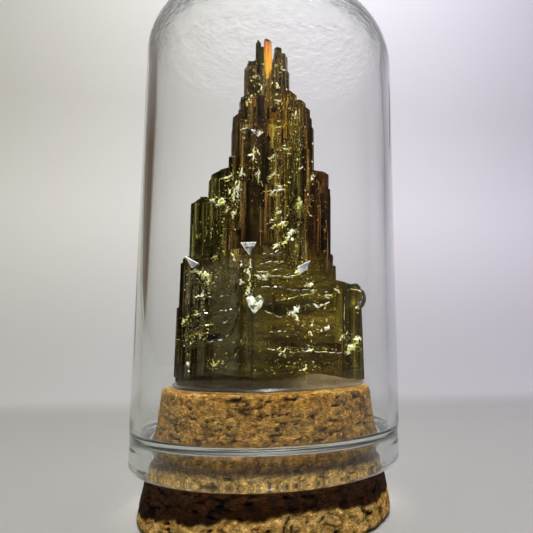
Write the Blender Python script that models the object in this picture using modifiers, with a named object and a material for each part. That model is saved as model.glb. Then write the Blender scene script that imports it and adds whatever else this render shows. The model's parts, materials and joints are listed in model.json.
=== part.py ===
"""A stepped columnar crystal glued to a cork, under a clear glass dome that the cork closes.

Metres, +Z up. The origin is the middle of the cork's underside, and the dome's axis is the Z axis.
The crystal's own sizes are in millimetres, as a specimen's are, and its meshes are scaled to metres.
"""

import math
import random
from typing import NamedTuple

import bmesh
import bpy
from mathutils import Matrix, Vector

OBJECT_NAME = "crystal_dome"
MM = 0.001
GAP = 0.0003  # left between pieces that touch
TURN_STEPS = 56  # round the turned pieces
MERGE = 0.00005

# Cork: a tapered stopper, squeezed where the dome's lip grips it.
CORK_HEIGHT = 0.0213
CORK_FOOT_RADIUS = 0.02175
CORK_UNDER_LIP_RADIUS = 0.0207
CORK_GRIPPED_RADIUS = 0.0194
CORK_TOP_RADIUS = 0.0186
CORK_CHAMFER = 0.0007

# Glass dome: a straight wall with an elliptical crown above and a thick lip below a shallow groove.
DOME_RADIUS = 0.0235
DOME_WALL = 0.0016
DOME_SHOULDER = 0.0824  # where the straight wall ends, above the cork's underside
DOME_CROWN = 0.0154  # height of the crown above the shoulder
LIP_RADIUS = 0.0234
LIP_BOTTOM = 0.0085
LIP_TOP = 0.0142  # the groove's middle
GROOVE_RADIUS = 0.0229
GROOVE_HALF = 0.0012
LIP_BORE = 0.0204
LIP_ROUND = 0.0013
THROAT_TOP = 0.0170  # where the bore has widened to the straight wall
CROWN_POINTS = 8

# Glue: a clear puddle that covers the cork's top and rises against the crystal.
GLUE_RADIUS = 0.0176
GLUE_WAVE = 0.0005
GLUE_EDGE = 0.0007
GLUE_MIDDLE = 0.0013
GLUE_HUMP = 0.0011
GLUE_SIDES = 40
GLUE_RINGS = (1.0, 0.93, 0.8, 0.5)

# Crystal: millimetres from here on.
CRYSTAL_FOOT = 1000 * (CORK_HEIGHT + 2 * GAP) + 0.3
COLUMN_SIDES = 14
CORE_SIDES = 30
RIB_DEPTH = 0.085  # share of the half width by which a groove between two ribs is cut in
SQUARENESS = 0.62
COLUMN_START = 26.0  # columns grow out of the blocks from about this height
SEED = 7


class Column(NamedTuple):
    """One upright prism: where it stands, how high its middle reaches and how its top leans."""

    left: float
    right: float
    front: float
    back: float
    top: float
    lean_x: float = 0.0
    lean_y: float = 0.0


# The prisms that make the stepped outline, from the tip outwards.
TIP = (
    Column(-4.1, -2.4, -2.6, -0.2, 87.2, 0.25),
    Column(-2.7, -1.4, -1.9, 0.7, 86.6),
    Column(-1.7, -0.1, -2.5, -0.5, 87.7, -0.2),
    Column(0.4, 1.8, -0.9, 0.8, 87.2),
    Column(0.2, 3.1, -2.0, 2.1, 85.4, -0.1),
    Column(1.7, 3.4, -1.4, 1.6, 82.3, -0.5),
)
SHOULDERS = (
    Column(-5.3, -2.9, -2.5, 2.6, 82.6, 0.2),
    Column(-6.1, -3.8, -3.1, 3.0, 75.6, 0.25),
    Column(-7.4, -4.6, -3.7, 3.5, 71.6, 0.2),
    Column(2.3, 4.8, -3.1, 2.8, 76.9, -0.45),
    Column(3.9, 6.6, -3.7, 3.4, 74.9, -0.15),
    Column(5.3, 7.4, -3.4, 3.2, 73.9, -0.45),
    Column(5.9, 7.8, -2.9, 2.7, 72.3, -0.9),
    Column(-11.4, -8.3, -3.2, 3.7, 60.3, 0.45),
    Column(-9.7, -6.2, -4.3, 4.6, 60.7),
    Column(-14.8, -12.3, -1.9, 3.1, 55.1, 0.3),
    Column(-13.5, -10.1, -2.8, 4.1, 55.5, -0.05),
    Column(-16.1, -13.9, -2.2, 3.1, 44.6, 0.0, 0.3),
    Column(7.0, 11.1, -3.7, 4.0, 60.9, -0.18),
    Column(10.2, 12.0, -2.5, 3.3, 45.2, -0.25),
)
CORES = (
    Column(-3.7, 3.0, -3.3, 3.1, 82.9, 0.0, 0.1),
    Column(-6.9, 7.1, -4.9, 4.7, 70.9, 0.02, 0.15),
    Column(-10.6, 10.1, -5.3, 5.9, 53.6, -0.03, 0.1),
)
# The shorter prisms in front, each with its top leaning back like a roof tile.
FRONT = (
    Column(-4.3, -1.0, -5.7, -1.2, 75.6, 0.1, 0.5),
    Column(-5.9, -3.9, -5.1, -1.0, 70.2, 0.2, 0.4),
    Column(-7.7, -5.2, -5.5, -1.5, 63.3, 0.2, 0.4),
    Column(-10.2, -7.9, -4.6, -1.1, 59.1, 0.3, 0.4),
    Column(-8.7, -6.0, -5.9, -1.3, 54.3, 0.2, 0.5),
    Column(-12.2, -10.0, -3.6, 0.2, 50.4, 0.3, 0.4),
    Column(-7.5, -4.8, -6.6, -2.2, 49.7, 0.2, 0.5),
    Column(-1.5, 0.6, -6.3, -2.1, 58.1, 0.0, 0.5),
    Column(0.3, 2.0, -5.9, -2.0, 67.1, -0.1, 0.4),
    Column(1.7, 4.1, -5.7, -1.6, 63.9, -0.1, 0.5),
    Column(3.9, 5.6, -5.2, -1.4, 69.7, -0.2, 0.4),
    Column(5.4, 7.5, -4.4, -1.1, 65.6, -0.2, 0.4),
    Column(4.3, 7.7, -5.3, -1.7, 54.7, -0.2, 0.5),
    Column(7.0, 9.0, -4.7, -1.0, 59.3, -0.2, 0.4),
    Column(8.5, 10.6, -4.2, -0.8, 52.1, -0.3, 0.4),
    Column(-0.7, 2.5, -6.9, -2.8, 50.9, -0.1, 0.5),
    Column(2.5, 5.1, -6.2, -2.9, 48.2, -0.1, 0.5),
)
BACK_REACHES = ((-13.0, 52.0), (-10.6, 56.5), (-8.2, 60.5), (-5.9, 68.0), (-3.6, 75.0), (-1.4, 80.0),
                (0.9, 78.0), (3.2, 72.0), (5.5, 67.0), (7.8, 59.0), (10.0, 51.0))  # x, and the highest top there
BACK_LINE = ((-16.6, 3.0), (-7.5, 7.4), (9.2, 7.6), (17.3, 3.2))  # the blocks' back, as x and y
BACK_ROWS = (0.62, 0.9)  # how far back each row of prisms reaches, as a share of the blocks' depth
BACK_ROW_DROP = 10.0

# The two wedge-shaped blocks at the foot meet in an upright ridge at the front.
RIDGE = Vector((-3.1, -9.2))
WEST_OUTLINE = ((-16.6, -1.6), RIDGE, (0.4, -8.1), (1.3, 5.8), (-7.5, 7.7), (-15.9, 3.6))
EAST_OUTLINE = ((-3.6, -8.8), (-2.9, -9.15), (17.3, -3.6), (17.2, 3.3), (9.2, 7.9), (-3.4, 7.2))
WEST_TOP = (45.3, 0.09)  # height over the ridge line, and rise to the right
EAST_TOP = (43.2, -0.21)
BLOCK_TAPER = 0.965
KNOB = Vector((16.55, -1.3, 36.9))
KNOB_RADIUS = 1.75

# A prism with an upright front edge carries on the ridge, set back, to a second small facet.
CREST_OUTLINE = ((-5.5, -4.6), (-3.7, -7.7), (-1.3, -6.1), (-1.2, -2.2), (-5.3, -2.0))
CREST_TOP = (67.3, 0.25)


class Recess(NamedTuple):
    """A stepped hollow in a block's front face: each level is smaller than the last and goes deeper."""

    along: Vector  # unit direction from the ridge along the face
    outward: Vector
    start: float
    end: float
    top: float  # at the ridge end
    top_fall: float  # of the upper edge, away from the ridge
    floor_fall: float
    levels: tuple  # (floor at the ridge end, depth, inset of the top and both ends)


EAST_ALONG = Vector((20.6, 5.65, 0.0)).normalized()
WEST_ALONG = Vector((-13.5, 7.6, 0.0)).normalized()
EAST_RECESS = Recess(
    EAST_ALONG, Vector((EAST_ALONG.y, -EAST_ALONG.x, 0.0)), 2.3, 17.0, 41.9, 0.2, 0.0,
    ((27.1, 0.6, 0.0), (30.6, 1.15, 0.9), (33.4, 1.7, 1.8)))
WEST_RECESS = Recess(
    WEST_ALONG, Vector((-WEST_ALONG.y, WEST_ALONG.x, 0.0)), 2.0, 13.4, 44.0, 0.12, 0.17,
    ((30.6, 0.55, 0.0), (33.0, 1.05, 0.8), (37.0, 1.5, 1.6)))

# Small facets cut across the upright front edges, wide at the top and pointed below.
RIDGE_FACET = (Vector((-3.5, -8.9, 43.6)), 13.0)  # lowest point, and lean from upright in degrees
CREST_FACET = (Vector((-3.5, -7.6, 65.5)), 24.0)


def clear_scene():
    for obj in list(bpy.data.objects):
        bpy.data.objects.remove(obj, do_unlink=True)


def make_collection(name, is_helper=False):
    collection = bpy.data.collections.new(name)
    collection.hide_render = is_helper
    bpy.context.scene.collection.children.link(collection)
    return collection


def make_material(name, colour, roughness, transmission=0.0, ior=1.5):
    material = bpy.data.materials.new(name)
    material.use_nodes = True
    shader = material.node_tree.nodes["Principled BSDF"]
    shader.inputs["Base Color"].default_value = (*colour, 1.0)
    shader.inputs["Roughness"].default_value = roughness
    shader.inputs["Metallic"].default_value = 0.0
    shader.inputs["Transmission Weight"].default_value = transmission
    shader.inputs["IOR"].default_value = ior
    material.diffuse_color = (*colour, 1.0)
    return material


def add_object(name, mesh, collection, material=None):
    obj = bpy.data.objects.new(name, mesh)
    collection.objects.link(obj)
    if material is not None:
        mesh.materials.append(material)
    return obj


def mesh_from(bm, name, scale=1.0):
    bmesh.ops.recalc_face_normals(bm, faces=bm.faces)
    mesh = bpy.data.meshes.new(name)
    bm.to_mesh(mesh)
    bm.free()
    mesh.transform(Matrix.Scale(scale, 4))
    return mesh


def add_cutter(name, mesh, collection):
    cutter = add_object(name, mesh, collection)
    cutter.hide_render = True
    cutter.display_type = "WIRE"
    return cutter


def add_turned(name, profile, collection, material):
    """A turned solid, from a profile that starts and ends on the axis."""
    bm = bmesh.new()
    points = [bm.verts.new((radius, 0.0, height)) for radius, height in profile]
    for first, second in zip(points, points[1:]):
        bm.edges.new((first, second))
    mesh = bpy.data.meshes.new(name)
    bm.to_mesh(mesh)
    bm.free()
    obj = add_object(name, mesh, collection, material)
    screw = obj.modifiers.new("Turn", "SCREW")
    screw.steps = TURN_STEPS
    screw.render_steps = TURN_STEPS
    screw.use_merge_vertices = True
    screw.merge_threshold = MERGE
    screw.use_smooth_shade = True
    return obj


def crown_arc(radius, height, base):
    """Quarter ellipse from the axis down to the straight wall."""
    angles = [math.pi / 2 * (1 - step / CROWN_POINTS) for step in range(CROWN_POINTS + 1)]
    return [(radius * math.cos(angle) if step else 0.0, base + height * math.sin(angle))
            for step, angle in enumerate(angles)]


def build_dome(collection, material):
    inner_radius = DOME_RADIUS - DOME_WALL
    outside = crown_arc(DOME_RADIUS, DOME_CROWN, DOME_SHOULDER)
    inside = crown_arc(inner_radius, DOME_CROWN - DOME_WALL, DOME_SHOULDER)
    lip = [
        (DOME_RADIUS, LIP_TOP + GROOVE_HALF),
        (GROOVE_RADIUS, LIP_TOP + 0.3 * GROOVE_HALF),
        (GROOVE_RADIUS, LIP_TOP - 0.3 * GROOVE_HALF),
        (LIP_RADIUS, LIP_TOP - GROOVE_HALF),
        (LIP_RADIUS, LIP_BOTTOM + LIP_ROUND),
        (LIP_RADIUS - 0.3 * LIP_ROUND, LIP_BOTTOM + 0.3 * LIP_ROUND),
        (LIP_RADIUS - LIP_ROUND, LIP_BOTTOM),
        (LIP_BORE + 0.0011, LIP_BOTTOM),
        (LIP_BORE + 0.0003, LIP_BOTTOM + 0.0004),
        (LIP_BORE, LIP_BOTTOM + 0.0013),
        (LIP_BORE, LIP_TOP - GROOVE_HALF),
        (0.35 * LIP_BORE + 0.65 * inner_radius, 0.5 * (LIP_TOP + THROAT_TOP)),
        (inner_radius, THROAT_TOP),
    ]
    return add_turned("glass_dome", outside + lip + inside[::-1], collection, material)


def build_cork(collection, material):
    profile = [
        (0.0, CORK_HEIGHT),
        (CORK_TOP_RADIUS - CORK_CHAMFER, CORK_HEIGHT),
        (CORK_TOP_RADIUS, CORK_HEIGHT - 0.6 * CORK_CHAMFER),
        (CORK_GRIPPED_RADIUS - 0.0004, LIP_TOP + 0.0012),
        (CORK_GRIPPED_RADIUS, LIP_TOP - 0.0004),
        (LIP_BORE - GAP, LIP_BOTTOM + 0.0006),
        (CORK_UNDER_LIP_RADIUS, LIP_BOTTOM - 0.0014),
        (CORK_FOOT_RADIUS, CORK_CHAMFER),
        (CORK_FOOT_RADIUS - CORK_CHAMFER, 0.0),
        (0.0, 0.0),
    ]
    return add_turned("cork_base", profile, collection, material)


def build_glue(collection, cutters, material):
    """The puddle, with a pocket that the crystal's foot stands in."""
    bottom = CORK_HEIGHT + GAP
    bm = bmesh.new()
    bmesh.ops.create_circle(bm, cap_ends=False, segments=GLUE_SIDES, radius=1.0)
    ring = list(bm.edges)
    levels = [sorted(bm.verts, key=lambda vert: math.atan2(vert.co.y, vert.co.x))]
    for _ in GLUE_RINGS:
        made = bmesh.ops.extrude_edge_only(bm, edges=ring)["geom"]
        ring = [part for part in made if isinstance(part, bmesh.types.BMEdge)]
        around = [part for part in made if isinstance(part, bmesh.types.BMVert)]
        levels.append(sorted(around, key=lambda vert: math.atan2(vert.co.y, vert.co.x)))
    for level, share in zip(levels, (1.0, *GLUE_RINGS)):
        for vert in level:
            angle = math.atan2(vert.co.y, vert.co.x)
            wave = GLUE_WAVE * (math.sin(3 * angle + 0.6) + 0.5 * math.sin(7 * angle))
            rise = (1.0 - share) / (1.0 - GLUE_RINGS[-1])
            height = GLUE_EDGE + (GLUE_MIDDLE - GLUE_EDGE) * math.sqrt(max(rise, 0.0))
            hump = GLUE_HUMP * math.exp(-((angle + 0.75) / 0.5) ** 2) * math.sin(math.pi * share)
            vert.co.x = share * (GLUE_RADIUS + wave) * math.cos(angle)
            vert.co.y = share * (GLUE_RADIUS + wave) * math.sin(angle)
            vert.co.z = bottom + (0.0 if level is levels[0] else height + hump)
    for edge_level in (levels[0], levels[-1]):
        bm.faces.new(edge_level)
    glue = add_object("glue_pad", mesh_from(bm, "glue_pad"), collection, material)
    pocket_outline = [(corner[0] * 1.03, corner[1] * 1.03) for corner in foot_outline()]
    pocket = add_cutter(
        "foot_pocket", prism(pocket_outline, CRYSTAL_FOOT - 1000 * GAP, (CRYSTAL_FOOT + 9.0, 0.0)), cutters)
    cut(glue, pocket)
    return glue


def foot_outline():
    """The outer line of the two blocks together, going round from the left."""
    return (WEST_OUTLINE[0], (RIDGE.x, RIDGE.y), *EAST_OUTLINE[2:5], *WEST_OUTLINE[4:])


def cut(obj, cutter):
    modifier = obj.modifiers.new("Cut " + cutter.name, "BOOLEAN")
    modifier.operation = "DIFFERENCE"
    modifier.solver = "EXACT"
    modifier.object = cutter


def prism(outline, bottom, top, taper=1.0):
    """An upright prism of any outline. top is its height at x = RIDGE.x and its rise to the right."""
    bm = bmesh.new()
    base = bm.faces.new([bm.verts.new((*corner, bottom)) for corner in outline])
    made = bmesh.ops.extrude_face_region(bm, geom=[base])["geom"]
    height, rise = top
    for vert in made:
        if isinstance(vert, bmesh.types.BMVert):
            vert.co.x *= taper
            vert.co.y *= taper
            vert.co.z = height + rise * (vert.co.x - RIDGE.x)
    return mesh_from(bm, "prism", MM)


def ribbed_column(column, bottom, sides=COLUMN_SIDES):
    """A cylinder drawn out to a rounded oblong with upright ribs and a leaning top."""
    middle = Vector(((column.left + column.right) / 2, (column.front + column.back) / 2))
    half_width = (column.right - column.left) / 2
    half_depth = (column.back - column.front) / 2
    bm = bmesh.new()
    bmesh.ops.create_cone(bm, cap_ends=True, segments=sides, radius1=1.0, radius2=1.0, depth=1.0)
    for vert in bm.verts:
        angle = math.atan2(vert.co.y, vert.co.x)
        rib = 1.0 - RIB_DEPTH * (round(angle / math.tau * sides) % 2)
        across = math.copysign(abs(math.cos(angle)) ** SQUARENESS, math.cos(angle)) * half_width
        along = math.copysign(abs(math.sin(angle)) ** SQUARENESS, math.sin(angle)) * half_depth
        is_top = vert.co.z > 0
        vert.co.x = middle.x + rib * across
        vert.co.y = middle.y + rib * along
        vert.co.z = bottom
        if is_top:
            vert.co.z = column.top + column.lean_x * across + column.lean_y * along
    return mesh_from(bm, "column", MM)


def back_line(place):
    """How far back the blocks reach at this x."""
    for (x_0, y_0), (x_1, y_1) in zip(BACK_LINE, BACK_LINE[1:]):
        if place <= x_1:
            return y_0 + (y_1 - y_0) * (place - x_0) / (x_1 - x_0)
    return BACK_LINE[-1][1]


def back_columns():
    """The prisms of the unseen back, stepping down from the tip on both sides."""
    chance = random.Random(SEED)
    columns = []
    for row, share in enumerate(BACK_ROWS):
        for place, reach in BACK_REACHES:
            half_width = chance.uniform(1.0, 1.5)
            middle = place + chance.uniform(-0.3, 0.3) + 0.9 * row
            outer = share * back_line(middle) - chance.uniform(0.0, 0.5)
            top = reach - BACK_ROW_DROP * row - chance.uniform(0.0, 5.0)
            columns.append(Column(middle - half_width, middle + half_width, outer - 3.8, outer, top,
                                  chance.uniform(-0.2, 0.2), chance.uniform(-0.5, -0.3)))
    return columns


def recess_levels(recess):
    """One slab for each level, its outline drawn on the face and pushed into it."""
    upright = Vector((0.0, 0.0, 1.0))
    for floor, depth, inset in recess.levels:
        start, end = recess.start + inset, recess.end - inset
        outline = [(start, floor - recess.floor_fall * start), (end, floor - recess.floor_fall * end),
                   (end, recess.top - inset - recess.top_fall * end),
                   (start, recess.top - inset - recess.top_fall * start)]
        bm = bmesh.new()
        corners = [bm.verts.new(Vector((*RIDGE, 0.0)) + recess.along * reach + upright * height
                                + recess.outward * depth) for reach, height in outline]
        made = bmesh.ops.extrude_face_region(bm, geom=[bm.faces.new(corners)])["geom"]
        pushed = [part for part in made if isinstance(part, bmesh.types.BMVert)]
        bmesh.ops.translate(bm, vec=-2 * depth * recess.outward, verts=pushed)
        yield mesh_from(bm, "ledge", MM)


def facet_cutter(facet, turn=0.0, width=6.0, height=5.0):
    """A block whose back face leans away from the viewer's side, standing on its lowest point."""
    point, lean = facet
    bm = bmesh.new()
    bmesh.ops.create_cube(bm, size=1.0)
    bmesh.ops.scale(bm, vec=(width, 3.0, height), verts=bm.verts)
    bmesh.ops.translate(bm, vec=(0.0, -1.5, height / 2), verts=bm.verts)
    matrix = (Matrix.Translation(point) @ Matrix.Rotation(math.radians(turn), 4, "Z")
              @ Matrix.Rotation(math.radians(-lean), 4, "X"))
    bmesh.ops.transform(bm, matrix=matrix, verts=bm.verts)
    return mesh_from(bm, "facet", MM)


def knob_mesh():
    """The rounded glassy lump at the right block's upper corner."""
    bm = bmesh.new()
    bmesh.ops.create_uvsphere(bm, u_segments=12, v_segments=8, radius=KNOB_RADIUS)
    bmesh.ops.scale(bm, vec=(1.0, 1.25, 1.15), verts=bm.verts)
    bmesh.ops.translate(bm, vec=KNOB, verts=bm.verts)
    return mesh_from(bm, "knob", MM)


def build_crystal(collection, cutters, material):
    """All the prisms joined to the foot's two blocks, then the recesses and facets cut."""
    crystal = add_object("crystal_cluster", prism(WEST_OUTLINE, CRYSTAL_FOOT, WEST_TOP, BLOCK_TAPER),
                         collection, material)
    grown = make_collection("crystal_prisms", is_helper=True)
    east = prism(EAST_OUTLINE, CRYSTAL_FOOT, EAST_TOP, BLOCK_TAPER)
    crest = prism(CREST_OUTLINE, COLUMN_START + 1.3, CREST_TOP)
    prisms = [("east_block", east), ("crest", crest), ("knob", knob_mesh())]
    for index, column in enumerate(CORES):
        prisms.append((f"core_{index}", ribbed_column(column, COLUMN_START - 0.37 * index, CORE_SIDES)))
    for index, column in enumerate((*TIP, *SHOULDERS, *FRONT, *back_columns())):
        prisms.append((f"column_{index:02d}", ribbed_column(column, COLUMN_START + 0.113 * (index + 1))))
    for name, mesh in prisms:
        add_cutter(name, mesh, grown)
    join = crystal.modifiers.new("Join prisms", "BOOLEAN")
    join.operation = "UNION"
    join.solver = "EXACT"
    join.operand_type = "COLLECTION"
    join.collection = grown

    carvings = [*recess_levels(EAST_RECESS), *recess_levels(WEST_RECESS), facet_cutter(RIDGE_FACET),
                facet_cutter(CREST_FACET, turn=8.0)]
    for index, mesh in enumerate(carvings):
        cut(crystal, add_cutter(f"carving_{index:02d}", mesh, cutters))
    return crystal


def main():
    clear_scene()
    parts = make_collection(OBJECT_NAME)
    cutters = make_collection("cutters", is_helper=True)
    glass = make_material("Clear glass", (0.93, 0.96, 0.93), 0.02, transmission=1.0, ior=1.5)
    cork = make_material("Pressed cork", (0.42, 0.26, 0.11), 0.85)
    glue = make_material("Clear glue", (0.55, 0.53, 0.48), 0.25, transmission=0.6, ior=1.45)
    crystal = make_material("Olive brown crystal", (0.20, 0.17, 0.05), 0.08, transmission=0.8, ior=1.6)
    build_cork(parts, cork)
    build_glue(parts, cutters, glue)
    build_crystal(parts, cutters, crystal)
    build_dome(parts, glass)


main()
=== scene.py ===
"""Finishes, stage and camera for a stepped columnar crystal on a cork, closed under a glass dome.

Metres, +Z up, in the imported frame. Lists of places on the crystal are in millimetres, as x and height
in front view, and each is carried back along +Y until it meets the crystal.
"""

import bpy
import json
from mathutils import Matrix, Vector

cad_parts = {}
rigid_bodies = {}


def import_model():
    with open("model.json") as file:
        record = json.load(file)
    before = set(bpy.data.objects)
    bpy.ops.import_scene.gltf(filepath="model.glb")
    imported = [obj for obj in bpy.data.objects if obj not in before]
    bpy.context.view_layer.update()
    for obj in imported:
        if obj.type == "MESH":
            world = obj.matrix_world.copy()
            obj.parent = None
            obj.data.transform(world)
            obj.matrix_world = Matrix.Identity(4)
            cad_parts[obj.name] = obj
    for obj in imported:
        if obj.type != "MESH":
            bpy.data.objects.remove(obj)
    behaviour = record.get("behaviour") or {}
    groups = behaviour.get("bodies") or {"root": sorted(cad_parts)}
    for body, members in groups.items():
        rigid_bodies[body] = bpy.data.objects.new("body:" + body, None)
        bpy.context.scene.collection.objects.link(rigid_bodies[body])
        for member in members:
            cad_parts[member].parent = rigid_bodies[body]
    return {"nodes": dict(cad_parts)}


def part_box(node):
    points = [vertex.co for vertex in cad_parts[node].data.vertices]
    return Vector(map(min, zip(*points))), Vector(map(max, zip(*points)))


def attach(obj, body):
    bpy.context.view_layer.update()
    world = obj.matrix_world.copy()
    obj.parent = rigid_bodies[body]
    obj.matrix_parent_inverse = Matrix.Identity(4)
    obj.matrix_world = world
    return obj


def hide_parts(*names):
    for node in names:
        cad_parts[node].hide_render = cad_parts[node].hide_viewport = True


bl_info = {
    "name": "Crystal Dome",
    "version": (1, 0, 0),
    "blender": (4, 5, 0),
    "location": "View3D > Sidebar > Crystal Dome",
    "description": "Dresses a crystal specimen in a corked glass dome: glass, cork, glue, crystal and stage",
    "category": "Object",
}

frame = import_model()

import json
import math
import random

import bmesh
import bpy
import numpy as np
from bpy.props import FloatProperty, FloatVectorProperty, IntProperty, PointerProperty
from mathutils import Matrix, Vector, noise
from mathutils.bvhtree import BVHTree

MM = 0.001
UP = Vector((0.0, 0.0, 1.0))
BACKWARD = Vector((0.0, 1.0, 0.0))  # away from the viewer of the crystal's front
CUT_WELD = 1e-7  # corners nearer than this are one corner

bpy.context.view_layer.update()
_, CORK_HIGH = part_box("cork_base")
GLUE_LOW, GLUE_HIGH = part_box("glue_pad")
DOME_LOW, DOME_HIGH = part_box("glass_dome")
CRYSTAL_LOW, CRYSTAL_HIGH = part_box("crystal_cluster")

# Dome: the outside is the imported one's, and the bore and wall are drawn from it.
DOME_RADIUS = DOME_HIGH.x
LIP_RADIUS = DOME_RADIUS - 0.1 * MM
LIP_BOTTOM = DOME_LOW.z
LIP_TOP = LIP_BOTTOM + 4.9 * MM  # the groove's middle
LIP_BORE = DOME_RADIUS - 3.2 * MM
LIP_ROUND = 1.1 * MM
MOUTH_ROUND = 0.9 * MM
GROOVE_DEPTH = 0.22 * MM
GROOVE_HALF = 0.85 * MM
CROWN_HEIGHT = 15.4 * MM
SHOULDER = DOME_HIGH.z - CROWN_HEIGHT
THROAT_LOW = LIP_TOP - 0.5 * MM  # where the bore starts to widen
THROAT_TOP = LIP_TOP + 1.5 * MM

# Cork: radii at heights from the foot to the top, as the stopper tapers and is squeezed by the lip.
CORK_CHAMFER = 0.7 * MM
CORK_PROFILE = (
    (0.0, CORK_HIGH.x - CORK_CHAMFER),
    (0.7 * MM, CORK_HIGH.x),
    (LIP_BOTTOM - 1.4 * MM, CORK_HIGH.x - 1.05 * MM),
    (LIP_BOTTOM + 0.3 * MM, LIP_BORE - 0.25 * MM),
    (LIP_TOP - 0.8 * MM, LIP_BORE - 0.3 * MM),
    (LIP_TOP + 1.0 * MM, CORK_HIGH.x - 2.45 * MM),
    (CORK_HIGH.z - 0.5 * MM, CORK_HIGH.x - 3.15 * MM),
    (CORK_HIGH.z, CORK_HIGH.x - 3.15 * MM - 0.6 * CORK_CHAMFER),
)
CORK_STEPS = 400
WARP = 2.8 * MM  # how far the cork's flakes are pushed out of line
# Painted shade: the tint the cork takes in the lip's shadow and where it is seen through the thick lip.
PAINTED_SHADE_TINT = (0.046, 0.027, 0.006)


class DomeSettings(bpy.types.PropertyGroup):
    wall: FloatProperty(
        name="Wall", description="Thickness of the glass", default=1.6 * MM, min=0.5 * MM, unit="LENGTH")
    steps: IntProperty(name="Steps", description="Faces round the dome", default=224, min=24)
    ripple: FloatProperty(
        name="Ripple", description="How far the blown crown waves in and out", default=0.10 * MM,
        min=0.0, unit="LENGTH")
    tint: FloatVectorProperty(
        name="Tint", description="Colour that thick glass takes on", default=(0.35, 0.50, 0.37),
        subtype="COLOR", min=0.0, max=1.0)
    tint_density: FloatProperty(
        name="Tint density", description="Absorption per metre of glass", default=48.0, min=0.0)


class CorkSettings(bpy.types.PropertyGroup):
    granule: FloatProperty(
        name="Granule", description="Usual width of a cork granule", default=3.4 * MM, min=0.5 * MM,
        unit="LENGTH")
    crack_depth: FloatProperty(
        name="Crack depth", description="How deep the gaps between granules go", default=0.42 * MM,
        min=0.0, unit="LENGTH")
    light: FloatVectorProperty(
        name="Light granules", description="Colour of the palest granules", default=(0.92, 0.66, 0.28),
        subtype="COLOR", min=0.0, max=1.0)
    middle: FloatVectorProperty(
        name="Middle granules", description="Colour of most granules", default=(0.60, 0.355, 0.088),
        subtype="COLOR", min=0.0, max=1.0)
    dark: FloatVectorProperty(
        name="Dark granules", description="Colour of the bark granules", default=(0.20, 0.11, 0.027),
        subtype="COLOR", min=0.0, max=1.0)
    crack: FloatVectorProperty(
        name="Cracks", description="Colour inside cracks and pits", default=(0.045, 0.024, 0.008),
        subtype="COLOR", min=0.0, max=1.0)


class GlueSettings(bpy.types.PropertyGroup):
    colour: FloatVectorProperty(
        name="Colour", description="Colour of the set glue", default=(0.30, 0.235, 0.14),
        subtype="COLOR", min=0.0, max=1.0)


class CrystalSettings(bpy.types.PropertyGroup):
    colour: FloatVectorProperty(
        name="Body colour", description="Colour of light that has crossed the crystal",
        default=(0.50, 0.43, 0.04), subtype="COLOR", min=0.0, max=1.0)
    density: FloatProperty(
        name="Density", description="Absorption per metre of crystal", default=90.0, min=0.0)
    brown: FloatVectorProperty(
        name="Brown", description="Tint of the brown prisms", default=(0.36, 0.21, 0.08), subtype="COLOR",
        min=0.0, max=1.0)
    green: FloatVectorProperty(
        name="Green", description="Tint of the green prisms", default=(0.34, 0.33, 0.09), subtype="COLOR",
        min=0.0, max=1.0)
    golden: FloatVectorProperty(
        name="Golden", description="Tint of the broad face at the lower right", default=(0.35, 0.26, 0.036),
        subtype="COLOR", min=0.0, max=1.0)
    smoky: FloatVectorProperty(
        name="Smoky", description="Tint of the broad face at the lower left", default=(0.24, 0.222, 0.128),
        subtype="COLOR", min=0.0, max=1.0)
    rib_depth: FloatProperty(
        name="Rib depth", description="Depth of the upright grooves", default=0.26 * MM, min=0.0,
        unit="LENGTH")
    rib_count: IntProperty(name="Ribs", description="Thin prisms grown on the faces", default=260, min=0)
    veil_count: IntProperty(name="Veils", description="Bright flaws inside the crystal", default=320, min=0)
    amber: FloatVectorProperty(
        name="Amber", description="Colour of the amber prism near the tip", default=(0.78, 0.30, 0.03),
        subtype="COLOR", min=0.0, max=1.0)


class StageSettings(bpy.types.PropertyGroup):
    floor: FloatVectorProperty(
        name="Floor", description="Colour of the floor", default=(0.30, 0.29, 0.285), subtype="COLOR",
        min=0.0, max=1.0)
    wall: FloatVectorProperty(
        name="Wall", description="Colour of the backdrop", default=(0.65, 0.62, 0.645), subtype="COLOR",
        min=0.0, max=1.0)
    key_power: FloatProperty(
        name="Key", description="Power of the lamp above the front", default=1.15, unit="POWER")
    wash_power: FloatProperty(
        name="Wash", description="Power of the broad lamp above the backdrop", default=2.6, unit="POWER")


# ------------------------------------------------------------------ general helpers


def shade(colour, amount):
    """A plain colour made lighter or darker."""
    return tuple(min(1.0, amount * part) for part in colour)


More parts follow.
